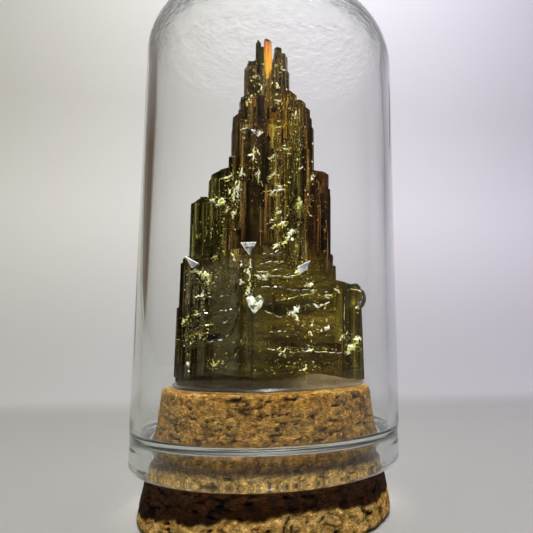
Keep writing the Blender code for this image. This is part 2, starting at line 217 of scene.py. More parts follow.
class Wiring:
    """Builds a shader tree. Values may be sockets or plain, and every method gives back sockets."""

    def __init__(self, tree):
        self.tree = tree

    def fill(self, socket, value):
        if isinstance(value, bpy.types.NodeSocket):
            self.tree.links.new(value, socket)
        else:
            socket.default_value = (*value, 1.0) if socket.type == "RGBA" else value

    def node(self, kind, inputs, **settings):
        made = self.tree.nodes.new("ShaderNode" + kind)
        for name, value in settings.items():
            setattr(made, name, value)
        for name, value in inputs.items():
            self.fill(made.inputs[name], value)
        return made.outputs

    def place(self, kind="Object"):
        return self.node("TexCoord", {})[kind]

    def axes(self, kind="Object"):
        """The x, y and z of the place that is shaded."""
        return tuple(self.node("SeparateXYZ", {"Vector": self.place(kind)}))

    def math(self, operation, first, second=0.0):
        return self.node("Math", {0: first, 1: second}, operation=operation)["Value"]

    def vector(self, operation, *values):
        return self.node("VectorMath", dict(enumerate(values)), operation=operation)["Vector"]

    def add(self, first, *others):
        for value in others:
            first = self.math("ADD", first, value)
        return first

    def times(self, first, *others):
        for value in others:
            first = self.math("MULTIPLY", first, value)
        return first

    def centred(self, value):
        return self.math("SUBTRACT", value, 0.5)

    def rise(self, value, low, high):
        """A mask that goes from 0 at low to 1 at high, in millimetres. High may be under low."""
        return self.node("MapRange", {"Value": value, "From Min": low * MM, "From Max": high * MM},
                         interpolation_type="SMOOTHSTEP")["Result"]

    def window(self, value, low, full, fade, high):
        """A mask that is 1 from full to fade, and 0 below low and above high, in millimetres."""
        return self.times(self.rise(value, low, full), self.rise(value, high, fade))

    def ramp(self, value, *stops):
        """A colour ramp through (place, colour or grey) stops."""
        made = self.tree.nodes.new("ShaderNodeValToRGB")
        elements = made.color_ramp.elements
        while len(elements) < len(stops):
            elements.new(0.5)
        for element, (spot, colour) in zip(elements, stops):
            element.position = spot
            element.color = (*colour, 1.0) if hasattr(colour, "__len__") else (colour, colour, colour, 1.0)
        self.fill(made.inputs["Fac"], value)
        return made.outputs["Color"]

    def mix(self, factor, first, second, blend="MIX"):
        made = self.tree.nodes.new("ShaderNodeMix")
        made.data_type = "RGBA"
        made.blend_type = blend
        sockets = {socket.name: socket for socket in made.inputs if socket.enabled}
        for name, value in (("Factor", factor), ("A", first), ("B", second)):
            self.fill(sockets[name], value)
        return next(socket for socket in made.outputs if socket.enabled)

    def tint(self, first, second, factor=1.0):
        return self.mix(factor, first, second, "MULTIPLY")

    def noise(self, scale, detail, place, **more):
        return self.node("TexNoise", {"Scale": scale, "Detail": detail, "Vector": place, **more})["Fac"]

    def mottle(self, scale, contrast, stretch=(1.0, 1.0, 1.0)):
        """The shared mottle, as a mask from 0 to 1."""
        return self.node("Group", {"Scale": scale, "Contrast": contrast, "Stretch": stretch},
                         node_tree=mottle_group())["Mask"]


class Paint(Wiring):
    """A Principled material. Its plain values stand on the shader's own sockets."""

    def __init__(self, name, **values):
        self.material = bpy.data.materials.new(name)
        self.material.use_nodes = True
        super().__init__(self.material.node_tree)
        self.shader = self.tree.nodes["Principled BSDF"]
        self.give(**values)

    def give(self, **values):
        for name, value in values.items():
            self.fill(self.shader.inputs[name.replace("_", " ")], value)

    def bump(self, height, strength, distance):
        bumped = self.node("Bump", {"Height": height, "Strength": strength, "Distance": distance})
        self.give(Normal=bumped["Normal"])

    def dress(self, tones):
        """Gives the shader its colour, and the same colour to its own light if it has some."""
        self.give(Base_Color=tones)
        if self.shader.inputs["Emission Strength"].default_value > 0.0:
            self.give(Emission_Color=tones)

    def absorb(self, colour, density):
        """A plain volume on the output, so that thick places are deeper in colour."""
        volume = self.node("VolumeAbsorption", {"Color": colour, "Density": density})
        self.fill(self.tree.nodes["Material Output"].inputs["Volume"], volume["Volume"])


def speckled(name, scale, contrast, stops, relief=0.0, **values):
    """A material whose colour runs through the stops with a fine mottle."""
    paint = Paint(name, **values)
    cloud = paint.mottle(scale, contrast)
    paint.dress(paint.ramp(cloud, *stops))
    if relief:
        paint.bump(cloud, relief, 0.05 * MM)
    return paint.material


def mottle_group():
    """Two sizes of soft noise on one another, as a mask from 0 to 1: dust, clouds and grain."""
    if "Mottle" in bpy.data.node_groups:
        return bpy.data.node_groups["Mottle"]
    group = bpy.data.node_groups.new("Mottle", "ShaderNodeTree")
    for label, kind, value in (("Scale", "NodeSocketFloat", 200.0), ("Contrast", "NodeSocketFloat", 2.0),
                               ("Stretch", "NodeSocketVector", (1.0, 1.0, 1.0))):
        group.interface.new_socket(name=label, in_out="INPUT", socket_type=kind).default_value = value
    group.interface.new_socket(name="Mask", in_out="OUTPUT", socket_type="NodeSocketFloat")
    wires = Wiring(group)
    inside = group.nodes.new("NodeGroupInput").outputs
    stretched = wires.vector("MULTIPLY", wires.place(), inside["Stretch"])
    coarse = wires.noise(inside["Scale"], 4.0, stretched)
    fine = wires.noise(wires.times(inside["Scale"], 4.3), 5.0, stretched)
    both = wires.add(wires.times(coarse, 0.62), wires.times(fine, 0.38))
    spread = wires.add(wires.times(wires.centred(both), inside["Contrast"]), 0.5)
    mask = wires.node("Clamp", {"Value": spread})["Result"]
    wires.fill(group.nodes.new("NodeGroupOutput").inputs["Mask"], mask)
    return group


def mesh_from(bm, name, smooth=False):
    """Makes a mesh of a bmesh, which is then gone."""
    for face in bm.faces:
        face.smooth = smooth
    mesh = bpy.data.meshes.new(name)
    bm.to_mesh(mesh)
    bm.free()
    return mesh


def solid_mesh(bm, name, smooth=False):
    """Makes a mesh of closed shapes, turned the right way out."""
    bmesh.ops.recalc_face_normals(bm, faces=bm.faces)
    return mesh_from(bm, name, smooth)


def add_tube(bm, rings):
    """A closed solid through rings of places, each with as many corners."""
    made = [[bm.verts.new(place) for place in ring] for ring in rings]
    bm.faces.new(made[0])
    for former, latter in zip(made, made[1:]):
        for index in range(len(former)):
            other = (index + 1) % len(former)
            bm.faces.new((former[index], former[other], latter[other], latter[index]))
    bm.faces.new(made[-1])


def add_piece(name, mesh, material, slot, *nodes):
    """A finished piece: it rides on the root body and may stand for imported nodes."""
    obj = bpy.data.objects.new(name, mesh)
    bpy.context.scene.collection.objects.link(obj)
    mesh.materials.clear()
    mesh.materials.append(material)
    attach(obj, "root")
    if nodes:
        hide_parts(*nodes)
    return obj


def add_detail(name, bm, material):
    """A small piece on or in the crystal."""
    add_piece(name, solid_mesh(bm, name), material, "crystal")


def revolve(name, profile, steps):
    """Turns a list of (radius, height) points round the Z axis into a closed mesh."""
    bm = bmesh.new()
    points = [bm.verts.new((radius, 0.0, height)) for radius, height in profile]
    edges = [bm.edges.new(pair) for pair in zip(points, points[1:])]
    bmesh.ops.spin(bm, geom=points + edges, axis=UP, cent=(0.0, 0.0, 0.0), dvec=(0.0, 0.0, 0.0),
                   angle=math.tau, steps=steps, use_merge=True)
    bmesh.ops.remove_doubles(bm, verts=bm.verts, dist=CUT_WELD)
    return solid_mesh(bm, name, smooth=True)


def arc(centre, radius, start, end, points):
    """Points on an arc in the profile plane, angles in degrees from +R towards +Z."""
    angles = [math.radians(start + (end - start) * step / (points - 1)) for step in range(points)]
    return [(centre[0] + radius[0] * math.cos(a), centre[1] + radius[1] * math.sin(a)) for a in angles]


def ease(value, low, high):
    """0 below low, 1 above high and smooth between them, for numbers or arrays."""
    share = np.clip((value - low) / (high - low), 0.0, 1.0)
    return share * share * (3.0 - 2.0 * share)


def bell(value, middle, half):
    """1 at the middle, falling to nearly 0 two halves away."""
    return np.exp(-((value - middle) / half) ** 2)


def places_of(mesh):
    """Every vertex's place, as an array of rows."""
    places = np.empty(len(mesh.vertices) * 3, np.float32)
    mesh.vertices.foreach_get("co", places)
    return places.reshape(-1, 3).astype(float)


def move_vertices(mesh, moved):
    """Puts every vertex at its new place."""
    mesh.vertices.foreach_set("co", moved.astype(np.float32).ravel())
    mesh.update()


def outward_at(places):
    """Each place's distance from the Z axis, and the level direction away from it."""
    radius = np.hypot(places[:, 0], places[:, 1]) + 1e-9
    return radius, places * np.array((1.0, 1.0, 0.0)) / radius[:, None]


def noise_at(places, scale, seed, stretch=(1.0, 1.0, 1.0)):
    """Smooth noise from about -1 to 1 at each place."""
    offset = Vector((seed * 7.31, seed * 3.17, seed * 5.71))
    return np.array([noise.noise(Vector(place) * scale + offset) for place in places * np.array(stretch)])


# ------------------------------------------------------------------ glass dome


def dome_profile(wall):
    """From the crown's outer middle down the outside, round the lip and back up the inside."""
    inner = DOME_RADIUS - wall
    outside = arc((0.0, SHOULDER), (DOME_RADIUS, CROWN_HEIGHT), 90.0, 0.0, 40)
    outside[0] = (0.0, outside[0][1])
    inside = arc((0.0, SHOULDER), (inner, CROWN_HEIGHT - wall), 0.0, 90.0, 40)
    inside[-1] = (0.0, inside[-1][1])
    lip_start = LIP_TOP + 2.5 * MM
    straight = [(DOME_RADIUS, z) for z in np.linspace(SHOULDER, lip_start, 26)[1:-1]]
    groove = []
    for height in np.linspace(lip_start, LIP_BOTTOM + LIP_ROUND, 44)[:-1]:
        dip = GROOVE_DEPTH * bell(height, LIP_TOP, GROOVE_HALF)
        below = ease(LIP_TOP - height, 0.0, 1.0 * MM)
        groove.append((DOME_RADIUS - dip - (DOME_RADIUS - LIP_RADIUS) * below, height))
    foot = arc((LIP_RADIUS - LIP_ROUND, LIP_BOTTOM + LIP_ROUND), (LIP_ROUND, LIP_ROUND), 0.0, -90.0, 10)
    mouth = arc((LIP_BORE + MOUTH_ROUND, LIP_BOTTOM + MOUTH_ROUND), (MOUTH_ROUND, MOUTH_ROUND),
                -90.0, -180.0, 7)
    throat = [(LIP_BORE + (inner - LIP_BORE) * ease(z, THROAT_LOW, THROAT_TOP), z)
              for z in np.linspace(THROAT_LOW, THROAT_TOP, 18)]
    bore = [(inner, z) for z in np.linspace(THROAT_TOP, SHOULDER, 26)[1:-1]]
    return outside + straight + groove + foot + mouth + throat + bore + inside


def ripple(places, depth):
    """Waves in the blown crown, fading down the straight wall."""
    height = places[:, 2]
    crown = ease(height, SHOULDER - 8.0 * MM, SHOULDER + 7.0 * MM)
    radius, outward = outward_at(places)
    angle = np.arctan2(places[:, 1], places[:, 0]) + 90.0 * radius
    swirl = np.stack([np.cos(angle) * radius * 0.5, np.sin(angle) * radius * 0.5, radius * 2.2], axis=1)
    wave = noise_at(swirl, 900.0, 1.0) * 0.6 + noise_at(places, 330.0, 2.0) * 0.8
    drawn = noise_at(places, 210.0, 3.0, (1.0, 1.0, 0.12))
    calm = ease(height, LIP_TOP + 2.0 * MM, LIP_TOP + 12.0 * MM)
    lift = ease(height, SHOULDER, DOME_HIGH.z)[:, None]
    outward = outward * (1.0 - lift) + np.array(UP) * lift
    return places - outward * (np.abs(depth * (crown * wave + 0.35 * drawn)) * calm)[:, None]


def glass_material(settings):
    """Clear glass, worn at the ring and swirled in the crown."""
    paint = Paint("Dome glass", Base_Color=(1.0, 1.0, 1.0), Roughness=0.0, IOR=1.5, Transmission_Weight=1.0,
                  Metallic=0.0, Specular_Tint=(0.65, 0.65, 0.65))
    _, _, z = paint.axes()
    ring, shoulder = LIP_TOP / MM, SHOULDER / MM
    worn = paint.window(z, ring - 0.9, ring - 0.2, ring + 0.1, ring + 0.9)
    paint.give(Roughness=paint.times(worn, 0.18))
    swirl = paint.mottle(210.0, 1.3, (0.8, 0.8, 2.4))
    paint.bump(paint.times(swirl, paint.rise(z, shoulder - 4.0, shoulder + 6.0)), 0.65, 0.5 * MM)
    paint.absorb(settings.tint, settings.tint_density)
    return paint.material


class CRYSTALDOME_OT_dome(bpy.types.Operator):
    """Blow the glass dome: straight wall, rippled crown and thick rolled lip"""

    bl_idname = "crystal_dome.dome"
    bl_label = "Glass Dome"

    def execute(self, context):
        settings = context.scene.crystal_dome_dome
        mesh = revolve("dome_glass", dome_profile(settings.wall), settings.steps)
        move_vertices(mesh, ripple(places_of(mesh), settings.ripple))
        dome = add_piece("dome_glass", mesh, glass_material(settings), "clear_glass", "glass_dome")
        dome.visible_shadow = False
        return {"FINISHED"}


# ------------------------------------------------------------------ cork


def cork_material(settings):
    """Granules by stored tone with painted light, shaggy with level folds, with fine grain, dark cracks and
    painted shade under and inside the lip.
    """
    paint = Paint("Pressed cork", Roughness=0.9, Specular_IOR_Level=0.08)
    tone, crack, painted_shade = (paint.node("Attribute", {}, attribute_name=name)["Fac"]
                            for name in ("granule_tone_and_light", "crack", "painted_shade"))
    place = paint.place()
    level = paint.vector("MULTIPLY", place, (1.0, 1.0, 2.1))
    fibre = paint.noise(620.0, 8.0, level, Roughness=0.76, Distortion=3.2)
    granules = paint.ramp(
        paint.add(paint.times(tone, 0.32), paint.times(fibre, 0.80)), (0.24, settings.crack),
        (0.37, settings.dark), (0.50, settings.middle), (0.64, settings.middle), (0.80, settings.light))
    hue = paint.mix(paint.mottle(190.0, 3.0), (1.14, 0.92, 0.62), (1.00, 1.00, 0.84))
    grain = paint.mottle(1100.0, 2.8)
    speck = paint.ramp(grain, (0.15, 0.30), (0.42, 0.82), (0.60, 1.04), (0.85, 1.60))
    grained = paint.tint(paint.tint(granules, hue), speck)
    warp = paint.node("TexNoise", {"Scale": 420.0, "Detail": 3.0, "Vector": place})["Color"]
    warped = paint.vector("MULTIPLY_ADD", warp, (WARP, WARP, WARP), place)
    squashed = paint.vector("MULTIPLY", warped, (1.0, 1.0, 1.7))
    flakes = paint.node("TexVoronoi", {"Scale": 640.0, "Vector": squashed}, feature="DISTANCE_TO_EDGE")
    crevice = paint.ramp(flakes["Distance"], (0.0, 0.30), (0.05, 0.66), (0.12, 1.0), (0.45, 1.06))
    grained = paint.tint(grained, crevice, paint.times(paint.mottle(240.0, 3.6, (1.0, 1.0, 1.5)), 0.7))
    fold = paint.noise(430.0, 5.0, level, Roughness=0.62, Distortion=1.2)
    ridges = paint.ramp(paint.math("ABSOLUTE", paint.centred(fold)), (0.0, 1.55), (0.010, 1.28),
                        (0.030, 0.92), (0.075, 0.80), (0.16, 0.62))
    grained = paint.tint(grained, ridges, 0.85)
    cracked = paint.mix(crack, grained, settings.crack)
    # Painted shade from the stored mask darkens the cork under and inside the lip.
    paint.give(Base_Color=paint.tint(cracked, PAINTED_SHADE_TINT, painted_shade))
    height = paint.add(fibre, paint.times(grain, 0.22), paint.times(crevice, 0.25), paint.times(ridges, 0.30))
    paint.bump(height, 0.9, 0.9 * MM)
    return paint.material


def cork_rows():
    """(radius, height) from the underside's middle up the side to the top's middle."""
    heights, radii = zip(*CORK_PROFILE)
    rows = [(radii[0] * share, 0.0) for share in np.linspace(0.0, 1.0, 14)[:-1]]
    rows += [(float(np.interp(z, heights, radii)), float(z)) for z in np.linspace(0.0, CORK_HIGH.z, 100)]
    rows += [(radii[-1] * share, CORK_HIGH.z) for share in np.linspace(1.0, 0.0, 30)[1:]]
    return rows


def granule_field(places, size, seed):
    """For each place: the tone of its granule, and how near it is to the gap beside the next one."""
    tones, gaps = np.empty(len(places)), np.empty(len(places))
    for index, place in enumerate(places):
        point = Vector(place)
        warp = noise.noise_vector(point * (1.6 / size)) * (0.33 * size)
        spot = Vector((point.x, point.y, point.z * 1.5)) + warp + Vector((seed, 0.0, 0.0))
        distances, centres = noise.voronoi(spot / size)
        tones[index] = noise.cell(centres[0] * 13.7) * 0.5 + 0.5
        gaps[index] = distances[1] - distances[0]
    return np.clip(tones, 0.0, 1.0), gaps


def finish_cork(mesh, settings):
    """Sinks cracks and pits into the cork and stores what its material reads: tone with painted light,
    cracks, and painted shade.
    """
    places = places_of(mesh)
    height = places[:, 2]
    radius, outward = outward_at(places)
    tones, gaps = granule_field(places, settings.granule, 0.013)
    fine_tones, fine_gaps = granule_field(places, settings.granule * 0.42, 0.047)
    crack = (1.0 - ease(gaps, 0.02, 0.09)) * ease(noise_at(places, 260.0, 5.0), 0.10, 0.45)
    fine_crack = (1.0 - ease(fine_gaps, 0.04, 0.14)) * ease(noise_at(places, 420.0, 6.0), 0.15, 0.4)
    pits = ease(noise_at(places, 1100.0, 8.0, (0.7, 0.7, 1.7)), 0.48, 0.62)
    crack = np.maximum(crack, np.maximum(0.8 * fine_crack, pits))
    in_lip = ease(height, LIP_BOTTOM - 1.5 * MM, LIP_BOTTOM)
    in_lip *= 1.0 - ease(height, LIP_TOP, LIP_TOP + 2.0 * MM)
    swell = (0.16 * noise_at(places, 420.0, 9.0) + 0.05 * noise_at(places, 1500.0, 10.0) +
             0.16 * (tones - 0.5)) * MM
    push = np.where(in_lip > 0.02, -np.abs(swell) * 0.6, swell - 0.1 * MM)
    push -= crack * settings.crack_depth * (1.0 - 0.55 * in_lip)
    on_top = height > CORK_HIGH.z - 0.01 * MM
    rim = CORK_PROFILE[-1][1]
    side = np.where(on_top | (height < 0.2 * MM), ease(radius, 0.93 * rim, rim), 1.0)
    moved = places + outward * (push * side)[:, None]
    moved[:, 2] -= on_top * (0.05 * MM + crack * 0.3 * MM + np.abs(swell) * 0.8)
    move_vertices(mesh, moved)
    # Painted shadow of the lip: its ragged lower edge is highest in front and lower at the sides, lowest at
    # the left.
    ragged = 0.8 * MM * noise_at(places, 300.0, 12.0, (1.0, 1.0, 0.2))
    ragged += 0.35 * MM * noise_at(places, 1100.0, 13.0)
    sideways = outward[:, 0]
    shade_foot = (4.7 - 2.2 * sideways ** 2 + 0.8 * sideways) * MM + ragged
    shaded = ease(height, shade_foot - 0.2 * MM, shade_foot + 0.3 * MM)
    shaded *= 1.0 - ease(height, LIP_BOTTOM - 0.1 * MM, LIP_BOTTOM + 0.5 * MM)
    # Painted shade: a dark band round the cork inside the lip, below the groove.
    band = bell(height, LIP_TOP - 2.5 * MM + ragged * 0.3, 0.8 * MM)
    foot_of_lip = bell(height, LIP_BOTTOM + 1.1 * MM, 1.0 * MM)
    # All the painted shade in one mask: the lip's shadow, the dark band, and the cork inside the lip, except
    # at the lip's foot.
    painted_shade = np.maximum(shaded, np.maximum(0.85 * band, 0.50 * in_lip * (1.0 - foot_of_lip)))
    # Painted light: pale at the lip's foot and under the groove, on the lit foot below the painted shadow,
    # and along the top edge.
    pale = 2.2 * foot_of_lip + 0.7 * bell(height, LIP_TOP - 0.9 * MM, 0.7 * MM)
    pale += 1.2 * (1.0 - ease(height, shade_foot, shade_foot + 0.3 * MM))
    pale += ease(height + ragged * 0.5, CORK_HIGH.z - 0.3 * MM, CORK_HIGH.z)
    tone = np.clip(0.1 + 0.34 * tones + 0.40 * fine_tones + 0.42 * pale, 0.0, 1.3)
    for name, values in (("granule_tone_and_light", tone), ("crack", crack), ("painted_shade", painted_shade)):
        stored = mesh.attributes.new(name, "FLOAT", "POINT")
        stored.data.foreach_set("value", np.asarray(values, np.float32))


class CRYSTALDOME_OT_cork(bpy.types.Operator):
    """Press the cork: tapered stopper with granules, cracks and pits"""

    bl_idname = "crystal_dome.cork"
    bl_label = "Cork"

    def execute(self, context):
        settings = context.scene.crystal_dome_cork
        mesh = revolve("cork_body", cork_rows(), CORK_STEPS)
        finish_cork(mesh, settings)
        add_piece("cork_body", mesh, cork_material(settings), "cork", "cork_base")
        return {"FINISHED"}


# ------------------------------------------------------------------ crystal

PACKED_WELD = 1e-6
SEED_START = 0.06  # how far from the axis the rays for random places start
FRONT_START = -0.05  # where the rays for places in front view start
EAST = Vector((1.0, 0.0, 0.0))

# The flat shoulder left of the tip, with the spike standing on it: the shoulder's plan is in millimetres.
SPIKE_FOOT = 83.1 * MM
SPIKE_STEP = 0.3 * MM
SHOULDER_PLAN = ((-4.95, -1.6), (-4.5, -2.3), (-3.2, -2.4), (-3.2, 1.2), (-4.9, 1.0))

# Step lines on the broad front faces: x and height of the points that each line passes, in millimetres.
STEP_LINES = (
    ((-1.2, 44.0), (0.4, 44.1), (2.0, 44.6)),
    ((-1.7, 42.2), (0.2, 42.8), (2.3, 42.9)),
    ((-2.1, 40.8), (0.0, 40.9), (2.0, 41.6)),
    ((-1.9, 39.6), (0.4, 40.3), (2.8, 40.2), (5.3, 40.7)),
    ((-1.4, 38.3), (1.6, 38.5), (4.4, 37.9), (7.4, 38.3)),
    ((-0.6, 35.4), (1.5, 36.1), (3.2, 36.5), (5.1, 37.0), (7.7, 37.5), (10.8, 36.8)),
    ((-0.8, 34.2), (1.6, 33.3), (4.0, 33.7), (6.0, 35.6), (8.6, 35.0), (10.8, 36.0)),
    ((-0.3, 30.7), (2.4, 30.8), (5.6, 30.6)),
    ((-0.9, 29.0), (-0.3, 27.9), (3.0, 27.1), (7.0, 27.3), (12.8, 27.0)),
    ((-12.4, 37.0), (-9.0, 36.9), (-5.6, 37.5)),
    ((-12.6, 34.0), (-9.0, 34.3), (-5.1, 35.0)),
    ((-14.3, 31.2), (-11.0, 31.9), (-8.3, 32.2), (-6.0, 33.2)),
    ((-13.6, 28.6), (-10.9, 28.9), (-8.1, 29.5), (-6.2, 30.6), (-5.3, 32.7), (-5.0, 35.1)),
    ((-8.8, 25.1), (-7.2, 25.6), (-5.9, 26.4), (-4.9, 28.0), (-4.3, 30.4)),
    ((14.7, 38.4), (16.2, 38.3), (16.9, 37.2), (16.7, 35.9), (15.8, 35.2)),
    ((13.6, 37.0), (13.3, 33.5), (13.5, 30.5)),
)


def surface_seeds(tree, chance, count, low, high):
    """Random places on the crystal's upright faces, seen from all round, between two heights."""
    found = 0
    for _ in range(count * 12):
        turn = chance.uniform(0.0, math.tau)
        inward = Vector((math.cos(turn), math.sin(turn), 0.0))
        across = Vector((-inward.y, inward.x, 0.0))
        aside = across * chance.uniform(-18.0, 18.0) * MM
        start = aside - inward * SEED_START + UP * chance.uniform(low, high)
        place, normal, _, _ = tree.ray_cast(start, inward)
        if place is None or abs(normal.z) > 0.3:
            continue
        yield place, Vector((normal.x, normal.y, 0.0)).normalized()
        found += 1
        if found == count:
            return


def is_low_front(place):
    """The two broad front faces at the foot, which are smooth."""
    return place.z < 43.0 * MM and place.y < -1.0 * MM - 0.22 * abs(place.x)


def upright_prism(outline, bottom, top, lean, axis):
    """A closed prism on a plan outline whose top leans along axis."""
    bm = bmesh.new()
    base = bm.faces.new([bm.verts.new((corner.x, corner.y, bottom)) for corner in outline])
    made = bmesh.ops.extrude_face_region(bm, geom=[base])["geom"]
    middle = sum(outline, Vector()) / len(outline)
    for vert in made:
        if isinstance(vert, bmesh.types.BMVert):
            vert.co.z = top + lean * (vert.co - middle).dot(axis)
    return solid_mesh(bm, "rib")


def rib_meshes(tree, chance, count):
    """Thin prisms standing slightly proud of the faces, each ending in its own small step."""
    for place, normal in surface_seeds(tree, chance, count, 25.0 * MM, 86.0 * MM):
        if is_low_front(place) and chance.random() < 0.9:
            continue
        _, _, _, reach = tree.ray_cast(place - normal * 0.35 * MM, UP)
        if reach is None or reach < 0.6 * MM:
            continue
        across = Vector((-normal.y, normal.x, 0.0))
        half = chance.uniform(0.25, 0.95) * MM
        stand = chance.uniform(0.12, 0.42) * MM
        root = chance.uniform(0.7, 1.2) * MM
        shape = ((-half, -root), (half, -root), (half * 1.05, 0.2 * stand),
                 (half * chance.uniform(0.3, 0.8), stand),
                 (-half * chance.uniform(0.2, 0.7), stand * chance.uniform(0.8, 1.0)), (-half, 0.1 * stand))
        outline = [place + across * a + normal * b for a, b in shape]
        top = place.z + chance.uniform(0.15, 1.0) * reach - chance.uniform(0.1, 1.6) * MM
        bottom = max(23.0 * MM, place.z - chance.uniform(3.0, 14.0) * MM)
        if top - bottom < 1.0 * MM:
            continue
        yield upright_prism(outline, bottom, top, -chance.uniform(0.1, 0.9), normal)


def line_points(line, spacing):
    """Points along a step line, evenly spaced."""
    for (x_0, z_0), (x_1, z_1) in zip(line, line[1:]):
        count = max(1, round(math.hypot(x_1 - x_0, z_1 - z_0) / spacing))
        for step in range(count):
            share = step / count
            yield x_0 + (x_1 - x_0) * share, z_0 + (z_1 - z_0) * share
    yield line[-1]


def on_front(tree, x, z):
    """The crystal's surface at a place in front view, in millimetres, and its normal."""
    place, normal, _, _ = tree.ray_cast(Vector((x * MM, FRONT_START, z * MM)), BACKWARD)
    return place, normal


def traced_lines(tree, chance, spacing=0.55, wave=0.16):
    """Each step line as the places where it crosses the crystal, a little wavy."""
    for line in STEP_LINES:
        hits = [on_front(tree, x, z + chance.uniform(-wave, wave))[0] for x, z in line_points(line, spacing)]
        yield [place for place in hits if place is not None]


def shingle_mesh(places, stand, height):
    """A thin growth step: proud along its lower line, running back into the face above."""
    shifts = (BACKWARD * 0.5 * MM, -BACKWARD * stand, UP * height + BACKWARD * 0.06 * MM)
    bm = bmesh.new()
    add_tube(bm, [[place + shift for shift in shifts] for place in places])
    return solid_mesh(bm, "step")


def unite(bm, additions):
    """Joins closed meshes to a bmesh body in one solid and returns the new mesh."""
    body = bpy.data.objects.new("union_body", mesh_from(bm, "union_body"))
    bpy.context.scene.collection.objects.link(body)
    grown = bpy.data.collections.new("union_parts")
    bpy.context.scene.collection.children.link(grown)
    for mesh in additions:
        grown.objects.link(bpy.data.objects.new("union_part", mesh))
    join = body.modifiers.new("Join", "BOOLEAN")
    join.operation = "UNION"
    join.solver = "MANIFOLD"
    join.operand_type = "COLLECTION"
    join.collection = grown
    evaluated = body.evaluated_get(bpy.context.evaluated_depsgraph_get())
    united = bpy.data.meshes.new_from_object(evaluated)
    for part in list(grown.objects):
        data = part.data
        bpy.data.objects.remove(part)
        bpy.data.meshes.remove(data)
    bpy.data.collections.remove(grown)
    bpy.data.objects.remove(body)
    return united


def groove_line(chance, low, high, narrow, wide):
    """A zigzag across the crystal: where its corners are, and how far each stands out, from -1 to 1."""
    places, heights = [low], [0.0]
    while places[-1] < high:
        places.append(places[-1] + chance.uniform(narrow, wide))
        heights.append((-1.0) ** len(places) * chance.uniform(0.25, 1.0))
    return np.array(places), np.array(heights)


def slice_faces(bm, axis, places):
    """Cuts every face along planes across an axis, so that folds can follow them."""
    normal = Vector([float(index == axis) for index in range(3)])
    for place in places:
        bmesh.ops.bisect_plane(bm, geom=bm.verts[:] + bm.edges[:] + bm.faces[:], dist=CUT_WELD,
                               plane_co=normal * place, plane_no=normal)


def groove_crystal(mesh, settings, chance):
    """Upright grooves: the plan is folded in and out along zigzag lines, the same at every height."""
    front = groove_line(chance, CRYSTAL_LOW.x, CRYSTAL_HIGH.x, 0.35 * MM, 1.5 * MM)
    back = (front[0], np.array([(-1.0) ** i * chance.uniform(0.2, 1.0) for i in range(len(front[0]))]))
    sides = groove_line(chance, CRYSTAL_LOW.y, CRYSTAL_HIGH.y, 0.35 * MM, 1.3 * MM)
    bm = bmesh.new()
    bm.from_mesh(mesh)
    slice_faces(bm, 0, front[0][1:-1])
    slice_faces(bm, 1, sides[0][1:-1])
    slice_faces(bm, 2, (SPIKE_FOOT, SPIKE_FOOT + SPIKE_STEP))
    bm.to_mesh(mesh)
    bm.free()
    places = places_of(mesh)
    x, y, z = places.T
    behind = ease(y, -1.5 * MM, 1.5 * MM)
    smooth_face = (1.0 - ease(z, 40.0 * MM, 46.0 * MM)) * (1.0 - behind)
    smooth_face *= ease(x, -14.5 * MM, -12.5 * MM) * (1.0 - ease(x, 11.8 * MM, 12.6 * MM))
    depth = settings.rib_depth * (1.0 - 0.9 * smooth_face)
    rightward = ease(x, -2.0 * MM, 2.0 * MM) * 2.0 - 1.0
    drift = noise_at(places, 300.0, 21.0, (1.0, 1.0, 0.35)) * 0.10 * MM
    moved = places.copy()
    moved[:, 1] += depth * ((1.0 - behind) * np.interp(x, *front) + behind * np.interp(x, *back))
    moved[:, 0] += depth * rightward * np.interp(y, *sides)
    moved[:, 0] += drift * (1.0 - smooth_face)
    on_spike = ease(z, SPIKE_FOOT, SPIKE_FOOT + SPIKE_STEP) * (1.0 - ease(x, -3.6 * MM, -2.9 * MM))
    moved[:, 0] += 0.7 * MM * on_spike
    move_vertices(mesh, moved)


